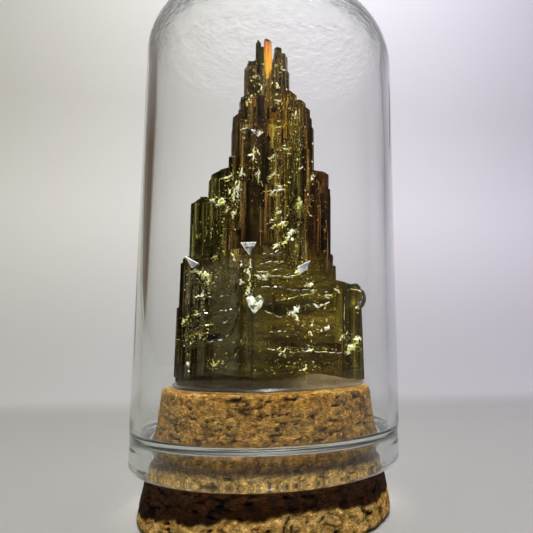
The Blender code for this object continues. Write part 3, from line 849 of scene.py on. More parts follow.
def crystal_material(settings):
    """Brown and green prisms above with a painted orange glow, one smoky and one golden broad face with wavy
    ledges below.
    """
    paint = Paint("Olive crystal", Roughness=0.03, IOR=1.62, Transmission_Weight=1.0, Metallic=0.0,
                  Specular_Tint=(0.40, 0.38, 0.34))
    paint.absorb(settings.colour, settings.density)
    x, _, z = paint.axes()
    lower, right = paint.rise(z, 46.0, 41.0), paint.rise(x, -3.4, -2.6)
    across = paint.math("DIVIDE", paint.math("SUBTRACT", x, CRYSTAL_LOW.x), CRYSTAL_HIGH.x - CRYSTAL_LOW.x)
    wander = paint.times(paint.centred(paint.mottle(120.0, 3.0, (1.0, 1.0, 0.3))), 0.05)
    brown, green = settings.brown, settings.green
    copper, deep, dusk = shade(brown, 1.5), shade(brown, 0.6), shade(green, 0.5)
    amber = shade(settings.golden, 1.6)
    russet = (0.52 * brown[0], 0.38 * brown[1], 0.34 * brown[2])
    upper = paint.ramp(
        paint.add(across, wander), (0.12, dusk), (0.27, dusk), (0.31, brown), (0.335, copper), (0.36, deep),
        (0.47, deep), (0.505, brown), (0.54, amber), (0.59, green), (0.635, green), (0.655, russet),
        (1.0, russet))
    upper = paint.mix(paint.rise(z, 70.0, 78.0), upper, brown)
    spike = paint.times(paint.rise(z, 81.0, 84.0), paint.rise(x, -1.6, -2.2))
    upper = paint.mix(paint.math("MAXIMUM", spike, paint.rise(z, 85.2, 85.8)), upper, dusk)
    # Painted glow: the tower's prisms turn orange in the middle, as light shining through them.
    glow = paint.times(paint.window(z, 63.0, 71.0, 76.0, 79.5), paint.window(x, -1.4, 0.4, 3.2, 6.0), 0.9)
    upper = paint.mix(glow, upper, (1.0, 0.42, 0.02))
    stripes = paint.tint(
        paint.ramp(paint.mottle(420.0, 3.6, (1.0, 1.0, 0.06)), (0.20, 0.22), (0.50, 0.82), (0.80, 2.3)),
        paint.ramp(paint.mottle(1150.0, 4.2, (1.0, 1.0, 0.035)), (0.25, 0.12), (0.42, 0.70), (0.58, 1.15),
                   (0.76, 3.1)))
    # Across the ridge: darker lines on either side and lighter between them, over a grey band.
    ridge_lines = paint.ramp(paint.math("DIVIDE", paint.add(x, 5.4 * MM), 3.4 * MM), (0.16, 1.0), (0.23, 0.25),
                      (0.31, 1.5), (0.68, 1.25), (0.77, 0.12), (0.88, 1.0))
    broad = paint.mix(right, settings.smoky, settings.golden)
    broad = paint.mix(paint.window(x, -4.8, -4.3, -2.9, -2.5), broad, (0.30, 0.31, 0.28))
    broad = paint.tint(broad, ridge_lines)
    clouds = paint.ramp(paint.mottle(200.0, 3.4, (0.4, 0.4, 1.9)), (0.25, 0.16), (0.42, 0.62), (0.58, 1.15),
                        (0.78, 2.7))
    clouded = paint.tint(broad, clouds, paint.add(paint.times(right, 0.6), 0.4))
    outer = paint.add(paint.rise(x, 11.2, 12.6), paint.rise(x, -12.6, -14.0))
    clouded = paint.mix(outer, clouded, paint.tint(broad, stripes))
    paint.dress(paint.mix(lower, paint.tint(upper, stripes), clouded))
    streaks = paint.times(paint.mottle(500.0, 2.0, (1.0, 1.0, 0.04)), 0.14)
    waves = paint.times(paint.mottle(300.0, 2.4, (0.45, 0.45, 2.0)), right, lower)
    paint.bump(paint.add(waves, streaks), 0.8, 0.55 * MM)
    return paint.material


class CRYSTALDOME_OT_crystal(bpy.types.Operator):
    """Grow the crystal: packed blocks and prisms with thin ribs, growth steps and upright grooves"""

    bl_idname = "crystal_dome.crystal"
    bl_label = "Crystal"

    def execute(self, context):
        settings = context.scene.crystal_dome_crystal
        chance = random.Random(11)
        body = bmesh.new()
        body.from_mesh(frame["nodes"]["crystal_cluster"].data)
        bmesh.ops.remove_doubles(body, verts=body.verts, dist=PACKED_WELD)
        tree = BVHTree.FromBMesh(body)
        additions = list(rib_meshes(tree, chance, settings.rib_count))
        shoulder = [Vector((*corner, 0.0)) * MM for corner in SHOULDER_PLAN]
        additions.append(upright_prism(shoulder, 78.0 * MM, 83.0 * MM, 0.06, EAST))
        for places in traced_lines(tree, chance):
            if len(places) > 2:
                stand, height = chance.uniform(0.24, 0.48) * MM, chance.uniform(1.0, 1.8) * MM
                additions.append(shingle_mesh(places, stand, height))
        mesh = unite(body, additions)
        groove_crystal(mesh, settings, chance)
        mesh.name = "crystal"
        for polygon in mesh.polygons:
            polygon.use_smooth = False
        crystal = add_piece("crystal", mesh, crystal_material(settings), "crystal", "crystal_cluster")
        crystal.visible_shadow = False
        return {"FINISHED"}


# ------------------------------------------------------------------ flakes, facets and bright edges

# The amber prism: two corners of its box, and its plan as shares of the box.
AMBER_LOW = Vector((-1.75, -3.7, 79.0)) * MM
AMBER_SIZE = Vector((-0.15, -2.9, 86.9)) * MM - AMBER_LOW
AMBER_PLAN = ((0.0, 1.0), (0.02, 0.5), (0.22, 0.08), (0.5, 0.25), (0.62, 0.0), (0.9, 0.2), (1.0, 0.6),
              (1.0, 1.0))
EDGE_ANGLES = [math.tau * index / 3 for index in range(3)]

# Pale facets on the front, painted reflections: corners as x and height, in millimetres, going round.
PALE_FACETS = (
    ((-5.0, 46.0), (-2.4, 46.0), (-3.6, 43.8)),
    ((-3.7, 66.9), (-1.5, 66.7), (-2.5, 65.7)),
    ((-15.2, 44.3), (-12.7, 42.9), (-13.8, 42.2)),
    ((4.8, 42.0), (7.0, 43.2), (6.3, 41.6), (5.0, 40.6)),
)
# The heart, a painted glint: its outline as x and height in millimetres, going round.
HEART_FACET = ((-3.95, 36.2), (-3.2, 36.95), (-2.45, 36.3), (-1.7, 36.9), (-0.95, 36.15), (-1.3, 34.95),
               (-2.5, 33.5), (-3.45, 34.9))
# Painted glints, as bright flashes on the front: x, height, length, width and lean from level in degrees.
FLASHES = (
    (-3.3, 79.6, 1.1, 0.35, 5), (-2.1, 77.2, 1.0, 0.5, 80), (1.0, 77.6, 1.1, 0.6, 70),
    (2.3, 81.3, 0.8, 0.3, 15), (-4.5, 73.9, 1.2, 0.5, 60), (1.2, 74.8, 1.6, 0.6, 30),
    (4.6, 72.2, 1.4, 0.4, 80), (-4.9, 68.1, 1.3, 0.3, 10), (1.2, 68.6, 1.4, 0.3, 15),
    (-3.1, 62.2, 2.6, 0.7, 85), (0.3, 62.6, 1.2, 0.5, 30), (2.6, 64.3, 1.8, 0.35, 0),
    (-2.2, 58.3, 2.6, 0.35, 88), (0.2, 59.0, 2.0, 0.4, 35), (-5.3, 59.7, 2.0, 0.5, 80),
    (-8.0, 58.7, 2.2, 0.4, 10), (-5.8, 56.7, 2.4, 0.6, 80), (-6.5, 55.2, 2.6, 0.6, 80),
    (1.1, 56.1, 2.8, 0.4, 12), (0.2, 55.6, 1.2, 0.3, 40), (5.6, 60.9, 1.0, 0.4, 60),
    (7.6, 59.5, 1.6, 0.7, 80), (5.2, 53.9, 2.2, 0.8, 70), (-9.0, 53.9, 1.9, 0.9, 20),
    (-10.4, 55.0, 1.6, 0.5, 10), (-7.6, 52.3, 1.0, 0.5, 50), (-6.5, 51.4, 1.4, 0.6, 80),
    (1.3, 51.9, 1.6, 0.3, 40), (0.4, 50.8, 1.4, 0.3, 35), (2.0, 49.9, 2.4, 0.6, 35),
    (0.6, 49.3, 1.5, 0.3, 25), (3.7, 48.6, 1.8, 1.0, 30), (2.8, 47.0, 2.6, 0.7, 55),
    (1.0, 45.6, 1.8, 0.4, 40), (4.7, 41.2, 1.2, 0.5, 40), (-1.0, 40.1, 2.2, 0.7, 22),
    (6.8, 39.0, 1.6, 0.6, 15), (7.6, 37.7, 1.2, 0.7, -40), (4.3, 34.4, 2.6, 1.1, 38),
    (8.3, 35.4, 1.4, 0.4, -30), (9.3, 35.4, 1.3, 0.4, 35), (10.7, 37.3, 1.4, 0.3, 0),
    (10.3, 31.4, 1.3, 0.8, 70), (7.5, 31.9, 0.7, 0.5, 60), (7.1, 30.5, 0.7, 0.5, 0),
    (13.0, 29.9, 1.9, 0.6, 55), (14.9, 27.8, 2.8, 0.9, 52), (15.5, 29.2, 1.6, 0.7, 75),
    (2.3, 27.3, 1.7, 0.5, 42), (7.1, 27.5, 1.4, 0.4, 10), (6.0, 24.3, 1.0, 0.4, 30),
    (-11.5, 40.8, 2.4, 1.0, -20), (-13.2, 41.7, 1.0, 0.7, -30), (-10.9, 39.6, 1.2, 0.6, 70),
    (-12.4, 37.2, 1.8, 0.4, 8), (-12.8, 33.9, 1.2, 0.4, 15), (-15.1, 32.6, 1.3, 0.5, 40),
    (-10.4, 32.0, 1.4, 0.3, 8), (-14.1, 25.3, 0.9, 0.5, -60), (-9.3, 25.2, 0.8, 0.4, 0),
    (-4.9, 42.1, 0.6, 0.5, 60), (-3.6, 40.9, 1.0, 0.9, 80), (-4.8, 39.1, 0.8, 0.7, 0),
    (-3.4, 37.9, 1.6, 0.7, 85), (-6.3, 43.8, 1.5, 0.4, -65), (-9.7, 43.9, 1.0, 0.25, 15),
    (12.2, 38.1, 1.0, 0.5, -50), (15.8, 35.0, 0.9, 0.5, -30),
)
# Fields of small flecks on the front, painted glints: x, height, half width, half height, how many, and their
# lean.
FLECK_FIELDS = (
    (-1.5, 78.5, 1.8, 3.5, 40, 85), (-3.4, 79.5, 0.8, 3.5, 30, 80), (-4.3, 74.0, 0.8, 2.2, 30, 70),
    (2.6, 74.0, 2.0, 2.6, 60, 80), (1.8, 81.0, 1.0, 3.0, 16, 85), (-4.9, 67.0, 0.5, 3.0, 20, 85),
    (-3.0, 61.0, 1.0, 4.0, 26, 85), (2.2, 63.0, 2.6, 7.5, 90, 85), (4.8, 66.0, 1.2, 7.0, 50, 85),
    (7.2, 57.0, 1.2, 4.5, 30, 80), (-7.0, 57.0, 2.6, 3.0, 60, 60), (-6.3, 53.5, 0.9, 2.6, 30, 80),
    (-10.0, 54.2, 1.8, 1.0, 26, 20), (-8.6, 49.0, 0.9, 2.6, 26, 70), (-11.5, 48.5, 1.3, 4.5, 14, 85),
    (3.0, 51.5, 4.2, 4.8, 110, 40), (4.6, 43.0, 2.2, 2.0, 44, 35), (5.5, 37.5, 5.0, 2.6, 70, 10),
    (7.2, 31.5, 4.6, 2.0, 50, 20), (6.0, 27.6, 6.0, 0.4, 50, 0), (5.5, 24.8, 6.5, 1.1, 60, 10),
    (14.3, 28.5, 1.3, 2.2, 40, 55), (-11.6, 40.9, 2.0, 1.6, 50, -20), (-12.2, 38.0, 1.2, 3.0, 24, 60),
    (-12.8, 29.6, 2.2, 1.6, 90, 0), (-9.0, 25.4, 1.3, 1.6, 30, 0), (-13.0, 33.0, 1.8, 1.4, 26, 10),
    (-3.8, 40.0, 0.7, 3.4, 34, 85),
)



def facet_reflection_material():
    """Painted reflection: silvery facets with a faint lavender cloud and a faint light of their own, as the
    pale surroundings mirrored.
    """
    stops = ((0.2, (0.28, 0.30, 0.48)), (0.5, (0.46, 0.47, 0.62)), (0.8, (0.82, 0.84, 0.90)))
    return speckled("Facet reflection", 700.0, 3.0, stops, relief=0.3, Roughness=0.24, Metallic=0.6,
                    Emission_Strength=0.14)


def glint_material():
    """Painted glints: bright chips from white to yellow green, with a faint light of their own."""
    stops = ((0.33, (0.98, 0.98, 0.90)), (0.50, (0.96, 0.95, 0.56)), (0.70, (0.62, 0.67, 0.10)))
    return speckled("Bright flash", 900.0, 3.6, stops, Roughness=0.25, Metallic=0.15, Coat_Weight=1.0,
                    Emission_Strength=0.22)


def ledge_shadow_material():
    """Painted shadow under a growth step."""
    stops = ((0.3, (0.010, 0.008, 0.003)), (0.7, (0.030, 0.024, 0.007)))
    return speckled("Ledge shadow", 800.0, 2.0, stops, Roughness=0.35, Coat_Weight=0.3)


def fleck_glint_material():
    """Painted glints: small flecks, gold and green, a few nearly white."""
    stops = ((0.15, (0.50, 0.30, 0.04)), (0.42, (0.62, 0.56, 0.08)), (0.62, (0.50, 0.58, 0.10)),
             (0.85, (0.95, 0.94, 0.70)))
    return speckled("Fleck glint", 1500.0, 4.0, stops, Roughness=0.3, Metallic=0.35, Coat_Weight=0.8)


def amber_glow_material(settings):
    """Painted glow: red brown at the top, orange in the middle and bright yellow at the foot, with a faint
    light of its own.
    """
    paint = Paint("Amber prism glow", Roughness=0.12, IOR=1.6, Transmission_Weight=0.2, Emission_Strength=0.04)
    _, _, z = paint.axes()
    streaks = paint.times(paint.centred(paint.mottle(900.0, 2.6, (1.0, 1.0, 0.1))), 0.9)
    paint.dress(paint.ramp(paint.add(paint.rise(z, 80.5, 88.0), streaks), (0.0, (0.88, 0.53, 0.075)),
                           (0.35, (0.84, 0.36, 0.03)), (0.65, settings.amber), (0.95, (0.42, 0.15, 0.05))))
    return paint.material


def heart_glint_material():
    """Painted glint: cut into small facets, from dark olive to white, with a faint light of its own."""
    paint = Paint("Heart glint", Roughness=0.18, Metallic=0.2, Coat_Weight=1.0, Emission_Strength=0.16)
    facets = paint.node("TexVoronoi", {"Scale": 1500.0, "Vector": paint.place()}, distance="MANHATTAN")
    spread = paint.node("SeparateXYZ", {"Vector": facets["Color"]})["X"]
    paint.dress(paint.ramp(spread, (0.10, (0.16, 0.17, 0.06)), (0.30, (0.55, 0.58, 0.26)),
                           (0.50, (0.86, 0.88, 0.62)), (0.75, (0.97, 0.98, 0.94))))
    return paint.material


def grown_tree():
    """The finished crystal's surface, for placing things on and in it."""
    bm = bmesh.new()
    bm.from_mesh(bpy.data.objects["crystal"].data)
    tree = BVHTree.FromBMesh(bm)
    bm.free()
    return tree


def flat_on_front(tree, outline, lift):
    """Corners given in front view, laid in one plane just in front of the face under their middle."""
    centre, normal = on_front(tree, *(sum(axis) / len(outline) for axis in zip(*outline)))
    facing = (0.5 * normal - BACKWARD + 0.3 * UP).normalized()
    places, reach = [], []
    for x, z in outline:
        shift = Vector((x * MM - centre.x, 0.0, z * MM - centre.z))
        places.append(centre + shift - BACKWARD * (shift.dot(facing) / facing.y))
        hit, _ = on_front(tree, x, z)
        if hit is not None:
            reach.append(places[-1].y - hit.y)
    forward = BACKWARD * (max(reach) + lift)
    return [place - forward for place in places], facing


def beside(x, z, lean, along, aside):
    """The place in front view that is along and aside of a line through x and z leaning from level."""
    run, rise = math.cos(math.radians(lean)), math.sin(math.radians(lean))
    return x + along * run - aside * rise, z + along * rise + aside * run


def add_sliver(bm, tree, chance, x, z, length, width, lean):
    """A jagged little plate with a raised middle, nearly flat on the face at a place in front view."""
    place, normal = on_front(tree, x, z)
    if place is None:
        return
    tilt = Vector((chance.uniform(-0.3, 0.3), -0.4, chance.uniform(-0.1, 0.7)))
    facing = (normal + tilt).normalized()
    place = place + facing * 0.03 * MM
    along = Matrix.Rotation(math.radians(-lean), 3, facing) @ UP.cross(facing).normalized() * length * MM
    across = facing.cross(along).normalized() * width * MM
    count = chance.randint(6, 11)
    rim = []
    for index in range(count):
        turn = math.tau * (index + chance.uniform(-0.3, 0.3)) / count
        reach = chance.uniform(0.22, 0.56)
        rim.append(bm.verts.new(place + along * math.cos(turn) * reach + across * math.sin(turn) * reach))
    top = bm.verts.new(place + facing * width * 0.25 * MM + along * chance.uniform(-0.15, 0.15))
    bm.faces.new(rim[::-1])
    for index in range(count):
        bm.faces.new((rim[index], rim[(index + 1) % count], top))


def add_flash(bm, tree, chance, x, z, length, width, lean):
    """A crinkled bright ribbon along a line that leans from level, broken where the face steps back."""
    level = beside(0.0, 0.0, lean, 0.0, 1.0)
    count = max(4, round(length / 0.2))
    rows = []
    for index in range(count + 1):
        share = index / count
        aside = chance.gauss(0.0, 0.20 * width)
        half = 0.5 * width * (0.25 + 0.75 * math.sin(math.pi * share)) * chance.uniform(0.25, 1.3)
        crest = chance.uniform(-0.5, 0.5)
        place, _ = on_front(tree, *beside(x, z, lean, (share - 0.5) * length, aside))
        if place is None or (rows and abs(place.y - rows[-1][3].y) > 0.7 * MM):
            add_ribbon(bm, rows)
            rows = []
        if place is not None:
            sideways, forward = Vector((level[0], 0.0, level[1])) * half * MM, -BACKWARD * MM
            rows.append((place - sideways + forward * 0.08,
                         place + sideways * crest + forward * (0.1 + 0.6 * half),
                         place + sideways + forward * 0.08, place - forward * 0.1))
    add_ribbon(bm, rows)


def add_ribbon(bm, rows):
    """A closed strip through rows of four corners: left, crest, right and keel."""
    if len(rows) > 1:
        add_tube(bm, rows)


def add_edge_run(bm, places, radius, chance, gaps=0.45, forward=0.2, drop=0.0):
    """A broken line along a step: short three-sided rods with gaps between them."""
    shift = (-BACKWARD * forward - UP * drop) * MM
    for start, end in zip(places, places[1:]):
        if chance.random() < gaps or (end - start).length < PACKED_WELD:
            continue
        direction = (end - start).normalized()
        across = direction.cross(BACKWARD).normalized()
        above = across.cross(direction)
        width = radius * chance.uniform(0.5, 1.3)
        spokes = [(across * math.cos(angle) + above * math.sin(angle)) * width for angle in EDGE_ANGLES]
        add_tube(bm, [[place + shift + spoke for spoke in spokes] for place in (start, end)])


def build_amber(settings, chance):
    """A narrow amber prism standing in the front of the tip, drawn in towards its foot, coloured as a painted
    glow.
    """
    rings = []
    for share in np.linspace(0.0, 1.0, 9):
        width = 0.45 + 0.55 * ease(share, 0.0, 0.35) + chance.uniform(-0.05, 0.05)
        start = 0.55 - 0.5 * width + 0.08 * math.sin(5.0 * share)
        rings.append([AMBER_LOW + AMBER_SIZE * Vector((start + width * a, b, share)) for a, b in AMBER_PLAN])
    for corner in rings[-1]:
        corner.z += chance.uniform(-0.35, 0.1) * MM
    bm = bmesh.new()
    add_tube(bm, rings)
    add_detail("amber_prism", bm, amber_glow_material(settings))


def build_pale_facets(tree):
    """Thin plates over the front, coloured as painted reflections."""
    bm = bmesh.new()
    for outline in PALE_FACETS:
        back, facing = flat_on_front(tree, outline, 0.03 * MM)
        add_tube(bm, (back, [place + facing * 0.05 * MM for place in back]))
    add_detail("pale_facets", bm, facet_reflection_material())


def build_heart(tree, chance):
    """A painted glint cut as a facet with many small faces: its rim, an inner ring and its middle stand at
    uneven heights.
    """
    rim, facing = flat_on_front(tree, HEART_FACET, 0.05 * MM)
    middle = sum(rim, Vector()) / len(rim)
    bm = bmesh.new()
    outer = [bm.verts.new(place) for place in rim]
    inner = [bm.verts.new(middle.lerp(place, 0.55) + facing * chance.uniform(0.1, 0.4) * MM) for place in rim]
    top = bm.verts.new(middle + facing * 0.25 * MM)
    bm.faces.new(outer)
    for index in range(len(outer)):
        other = (index + 1) % len(outer)
        bm.faces.new((outer[index], inner[index], inner[other], outer[other]))
        bm.faces.new((inner[index], top, inner[other]))
    add_detail("heart_glint", bm, heart_glint_material())


def build_flashes(tree, chance):
    """Each painted glint, with two smaller ones beside it."""
    bm = bmesh.new()
    for x, z, length, width, lean in FLASHES:
        add_flash(bm, tree, chance, x, z, length, width, lean)
        for _ in range(2):
            add_flash(bm, tree, chance, x + chance.gauss(0.0, 0.5), z + chance.gauss(0.0, 0.6), 0.45 * length,
                      0.6 * width, lean + chance.gauss(0.0, 30.0))
    add_detail("bright_flashes", bm, glint_material())


def build_flecks(tree, chance):
    """Painted glints: gold and green flecks in their fields, and small ones round each flash."""
    bm = bmesh.new()
    for x, z, length, width, lean in FLASHES:
        for _ in range(round(9 * length)):
            along, aside = chance.gauss(0.0, 0.45 * length), chance.gauss(0.0, 0.5 * width + 0.12)
            size = chance.uniform(0.10, 0.38)
            add_sliver(bm, tree, chance, *beside(x, z, lean, along, aside), size,
                       size * chance.uniform(0.3, 0.7), lean + chance.gauss(0.0, 30.0))
    for x, z, half_width, half_height, count, lean in FLECK_FIELDS:
        for _ in range(2 * count):
            size = min(0.8, 0.15 * math.exp(chance.gauss(0.0, 0.6)))
            add_sliver(bm, tree, chance, x + chance.gauss(0.0, 0.6) * half_width,
                       z + chance.gauss(0.0, 0.6) * half_height, size, size * chance.uniform(0.35, 0.8),
                       lean + chance.gauss(0.0, 25.0))
    add_detail("golden_flecks", bm, fleck_glint_material())


def build_bright_edges(tree, chance):
    """Step lines: a painted shadow all along, and over it painted highlights on the edges, fewer on the smoky
    face.
    """
    bright, dark = bmesh.new(), bmesh.new()
    for places in traced_lines(tree, chance, 0.45, 0.08):
        smoky_side = places and places[0].x < -3.5 * MM
        add_edge_run(dark, places, 0.17 * MM, chance, 0.02, 0.16, 0.12)
        add_edge_run(bright, places, 0.06 * MM, chance, 0.92 if smoky_side else 0.42, 0.3)
    # Painted highlights down the ridge and round the pale facets, and a painted shade rim round the heart.
    ridge = [on_front(tree, -3.25 + chance.uniform(-0.1, 0.1), z)[0] for z in np.arange(38.0, 43.4, 0.5)]
    add_edge_run(bright, [place for place in ridge if place is not None], 0.13 * MM, chance)
    for outline in (*PALE_FACETS, HEART_FACET):
        corners, _ = flat_on_front(tree, outline, 0.1 * MM)
        rim = dark if outline is HEART_FACET else bright
        for start, end in zip(corners, corners[1:] + corners[:1]):
            run = [start.lerp(end, step / 3) for step in range(4)]
            add_edge_run(rim, run, 0.055 * MM, chance, 0.1)
    add_detail("bright_edges", bright, glint_material())
    add_detail("ledge_shadows", dark, ledge_shadow_material())


def build_veils(tree, chance, count):
    """Thin five-cornered fracture plates inside the crystal, mostly upright, well under the surface."""
    bm = bmesh.new()
    for place, normal in surface_seeds(tree, chance, count, 24.5 * MM, 85.0 * MM):
        depth = chance.uniform(0.35, 1.9) * MM
        _, _, _, room = tree.ray_cast(place - normal * 0.02 * MM, -normal)
        if room is None or room < depth + 0.9 * MM:
            continue
        low = is_low_front(place)
        tilt = Vector([chance.uniform(*limits) for limits in ((-0.9, 0.9), (-0.9, 0.9), (-0.3, 1.1))])
        facing = (normal + tilt).normalized()
        sway = 1.2 if low else 0.35
        across = Matrix.Rotation(chance.uniform(-sway, sway), 3, facing) @ facing.cross(UP).normalized()
        along = facing.cross(across)
        width = chance.uniform(0.10, 0.32) * MM
        length = width * chance.uniform(1.0, 3.0)
        if low:
            width, length = length, width
        turn = chance.uniform(0.0, math.tau)
        plate = []
        for corner in range(5):
            angle = turn + math.tau * corner / 5
            spoke = across * width * math.cos(angle) * chance.uniform(0.6, 1.0)
            spoke += along * length * math.sin(angle) * chance.uniform(0.6, 1.0)
            plate.append(place - normal * depth + spoke)
        add_tube(bm, (plate, [corner + facing * 0.02 * MM for corner in plate]))
    # The veils take the same painted glint colours as the flecks.
    add_detail("fracture_veils", bm, fleck_glint_material())


class CRYSTALDOME_OT_sparkle(bpy.types.Operator):
    """Set the amber prism, pale facets, bright chips and edges, and the veils inside"""

    bl_idname = "crystal_dome.sparkle"
    bl_label = "Facets and Veils"

    def execute(self, context):
        settings = context.scene.crystal_dome_crystal
        chance = random.Random(23)
        tree = grown_tree()
        build_amber(settings, chance)
        build_pale_facets(tree)
        build_heart(tree, chance)
        build_flashes(tree, chance)
        build_flecks(tree, chance)
        build_bright_edges(tree, chance)
        build_veils(tree, chance, settings.veil_count)
        return {"FINISHED"}


# ------------------------------------------------------------------ glue

PUDDLE_STEPS, PUDDLE_RINGS = 220, 36
FOOT_OUTLINE = ((-16.6, -1.6), (-3.1, -9.2), (17.3, -3.6), (17.2, 3.3), (9.2, 7.9), (-7.5, 7.7), (-15.9, 3.6))
FOOT_MARGIN = 0.15


def glue_material(settings):
    """Cloudy glue, clearer and paler at the right and in shadow at the front."""
    paint = Paint("Set glue", Roughness=0.26, IOR=1.47, Transmission_Weight=0.6, Coat_Weight=0.12,
                  Coat_Roughness=0.12)
    x, _, _ = paint.axes()
    cloud = paint.mottle(260.0, 2.2, (1.0, 1.0, 2.0))
    tones = paint.ramp(cloud, (0.2, shade(settings.colour, 0.6)), (0.55, settings.colour),
                       (0.85, shade(settings.colour, 1.5)))
    sided = paint.mix(paint.rise(x, -6.0, 6.0), (0.31, 0.23, 0.125), (0.98, 0.95, 0.80))
    shadow = paint.window(x, -15.5, -12.0, -1.0, 11.0)
    paint.dress(paint.mix(shadow, paint.tint(tones, sided), (0.028, 0.020, 0.011)))
    paint.bump(cloud, 0.25, 0.2 * MM)
    return paint.material


def glue_mesh():
    """A puddle in rings: wavy rim, a low middle under the crystal and a hump at the front right."""
    radius = GLUE_HIGH.x - 0.4 * MM
    top = []
    for ring in range(PUDDLE_RINGS - 1):
        share = 1.0 - ring / (PUDDLE_RINGS - 1)
        edge = math.sqrt(max(0.0, 1.0 - share ** 6))
        top.append([])
        for step in range(PUDDLE_STEPS):
            angle = math.tau * step / PUDDLE_STEPS
            wave = 0.5 * MM * (math.sin(3 * angle + 0.6) + 0.5 * math.sin(7 * angle))
            spot = Vector((math.cos(angle), math.sin(angle), 0.0)) * share * (radius + wave)
            ridge = noise.noise(spot * 260.0 + Vector((4.0, 0.0, 0.0)))
            hump = 1.1 * bell(angle, math.tau - 0.62, 0.33) * math.sin(math.pi * min(1.0, share * 1.05))
            spot.z = GLUE_LOW.z + (0.08 + 0.95 * edge + 0.28 * ridge * edge + hump) * MM
            if inside_foot(spot):
                spot.z = min(spot.z, CRYSTAL_LOW.z - 0.05 * MM)
            top[-1].append(spot)
    bm = bmesh.new()
    add_tube(bm, [[(spot.x, spot.y, GLUE_LOW.z) for spot in top[0]], *top])
    return solid_mesh(bm, "glue_puddle", smooth=True)


def inside_foot(spot):
    """Whether a place is under the crystal's foot, or nearly so."""
    point = Vector((spot.x, spot.y)) / MM
    for (x_0, y_0), (x_1, y_1) in zip(FOOT_OUTLINE, (*FOOT_OUTLINE[1:], FOOT_OUTLINE[0])):
        outward = Vector((y_1 - y_0, x_0 - x_1)).normalized()
        if (point - Vector((x_0, y_0))).dot(outward) > FOOT_MARGIN:
            return False
    return True


class CRYSTALDOME_OT_glue(bpy.types.Operator):
    """Pour the glue: a cloudy puddle with a hump at the front right"""

    bl_idname = "crystal_dome.glue"
    bl_label = "Glue"

    def execute(self, context):
        settings = context.scene.crystal_dome_glue
        glue = add_piece("glue_puddle", glue_mesh(), glue_material(settings), "clear_glue", "glue_pad")
        glue.visible_shadow = False
        return {"FINISHED"}


# ------------------------------------------------------------------ stage and camera

SWEEP_START = 0.11  # behind the dome's axis, where the floor turns up
SWEEP_RADIUS = 0.25
STAGE_HALF = 0.62
WALL_LEFT = 0.27
WALL_TOP = 1.2
CAMERA_PLACE = Vector((0.0, -0.09635, 0.029))
CAMERA_PITCH = math.radians(8.36)
CAMERA_YAW = math.radians(7.46)
CAMERA_ROLL = math.radians(-0.47)
PICTURE_SIZE = 533.0
FOCAL_PIXELS = 509.0
CENTRE_SHIFT = -69.5  # pixels


def stage_material(settings):
    """A pale floor and wall, with painted shade low on the wall and in front, and a little dust."""
    paint = Paint("Stage", Roughness=0.75, Specular_IOR_Level=0.2)
    x, y, z = paint.axes()
    # Painted shade: the wall darkens towards the floor and everything darkens in front, as the light falls
    # off.
    base = paint.mix(paint.rise(z, 0.0, 4.0), settings.floor, shade(settings.wall, 0.60))
    base = paint.mix(paint.rise(z, 0.0, 160.0), base, settings.wall)
    hue = paint.mix(paint.rise(x, -250.0, 250.0), (0.99, 1.03, 0.915), (1.0, 1.015, 1.11))
    base = paint.mix(paint.rise(y, -70.0, -240.0), paint.tint(base, hue), shade(settings.floor, 0.22))
    paint.dress(paint.tint(base, paint.ramp(paint.mottle(26.0, 0.5), (0.0, 0.94), (1.0, 1.0))))
    paint.bump(paint.mottle(420.0, 1.6), 0.25, 0.4 * MM)
    return paint.material


def sweep_mesh():
    """Floor and backdrop in one sheet with a rounded turn."""
    profile = [(-STAGE_HALF, 0.0), (-0.2, 0.0), (0.0, 0.0), (SWEEP_START, 0.0)]
    for angle in np.radians(np.linspace(90.0 / 24, 90.0, 24)):
        profile.append((SWEEP_START + SWEEP_RADIUS * math.sin(angle), SWEEP_RADIUS * (1.0 - math.cos(angle))))
    profile.append((SWEEP_START + SWEEP_RADIUS, WALL_TOP))
    bm = bmesh.new()
    rows = []
    for y, z in profile:
        left = WALL_LEFT + (STAGE_HALF - WALL_LEFT) * (1.0 - ease(y, 0.16, 0.30))
        rows.append([bm.verts.new((x, y, z)) for x in (-left, STAGE_HALF)])
    for (left_0, right_0), (left_1, right_1) in zip(rows, rows[1:]):
        bm.faces.new((left_0, right_0, right_1, left_1))
    return mesh_from(bm, "backdrop", smooth=True)


def add_lamp(name, place, aim, size, power, colour):
    """A round lamp turned towards a place."""
    light = bpy.data.lights.new(name, "AREA")
    light.shape = "DISK"
    light.size = size
    light.energy = power
    light.color = colour
    lamp = bpy.data.objects.new(name, light)
    bpy.context.scene.collection.objects.link(lamp)
    lamp.location = place
    lamp.rotation_euler = (Vector(place) - Vector(aim)).to_track_quat("Z", "Y").to_euler()


def build_world():
    """A soft room: pale behind the dome and above, greyer in front and at the sides."""
    world = bpy.data.worlds.new("Room")
    bpy.context.scene.world = world
    world.use_nodes = True
    wires = Wiring(world.node_tree)
    x, y, z = wires.axes("Generated")
    depth = wires.ramp(wires.add(wires.times(y, 0.5), 0.5), (0.0, (0.100, 0.082, 0.058)),
                       (0.45, (0.13, 0.110, 0.085)), (0.62, (0.30, 0.28, 0.28)), (0.9, (0.62, 0.60, 0.66)))
    leftward = wires.ramp(wires.add(wires.times(x, 0.5), 0.5), (0.0, (0.40, 0.30, 0.22)),
                          (0.22, (0.26, 0.19, 0.13)), (0.45, (1.0, 1.0, 1.0)))
    above = wires.ramp(z, (0.35, 0.0), (0.95, 1.0))
    background = world.node_tree.nodes["Background"].inputs
    wires.fill(background["Color"], wires.mix(above, wires.tint(depth, leftward), (0.80, 0.80, 0.84)))
    background["Strength"].default_value = 0.8


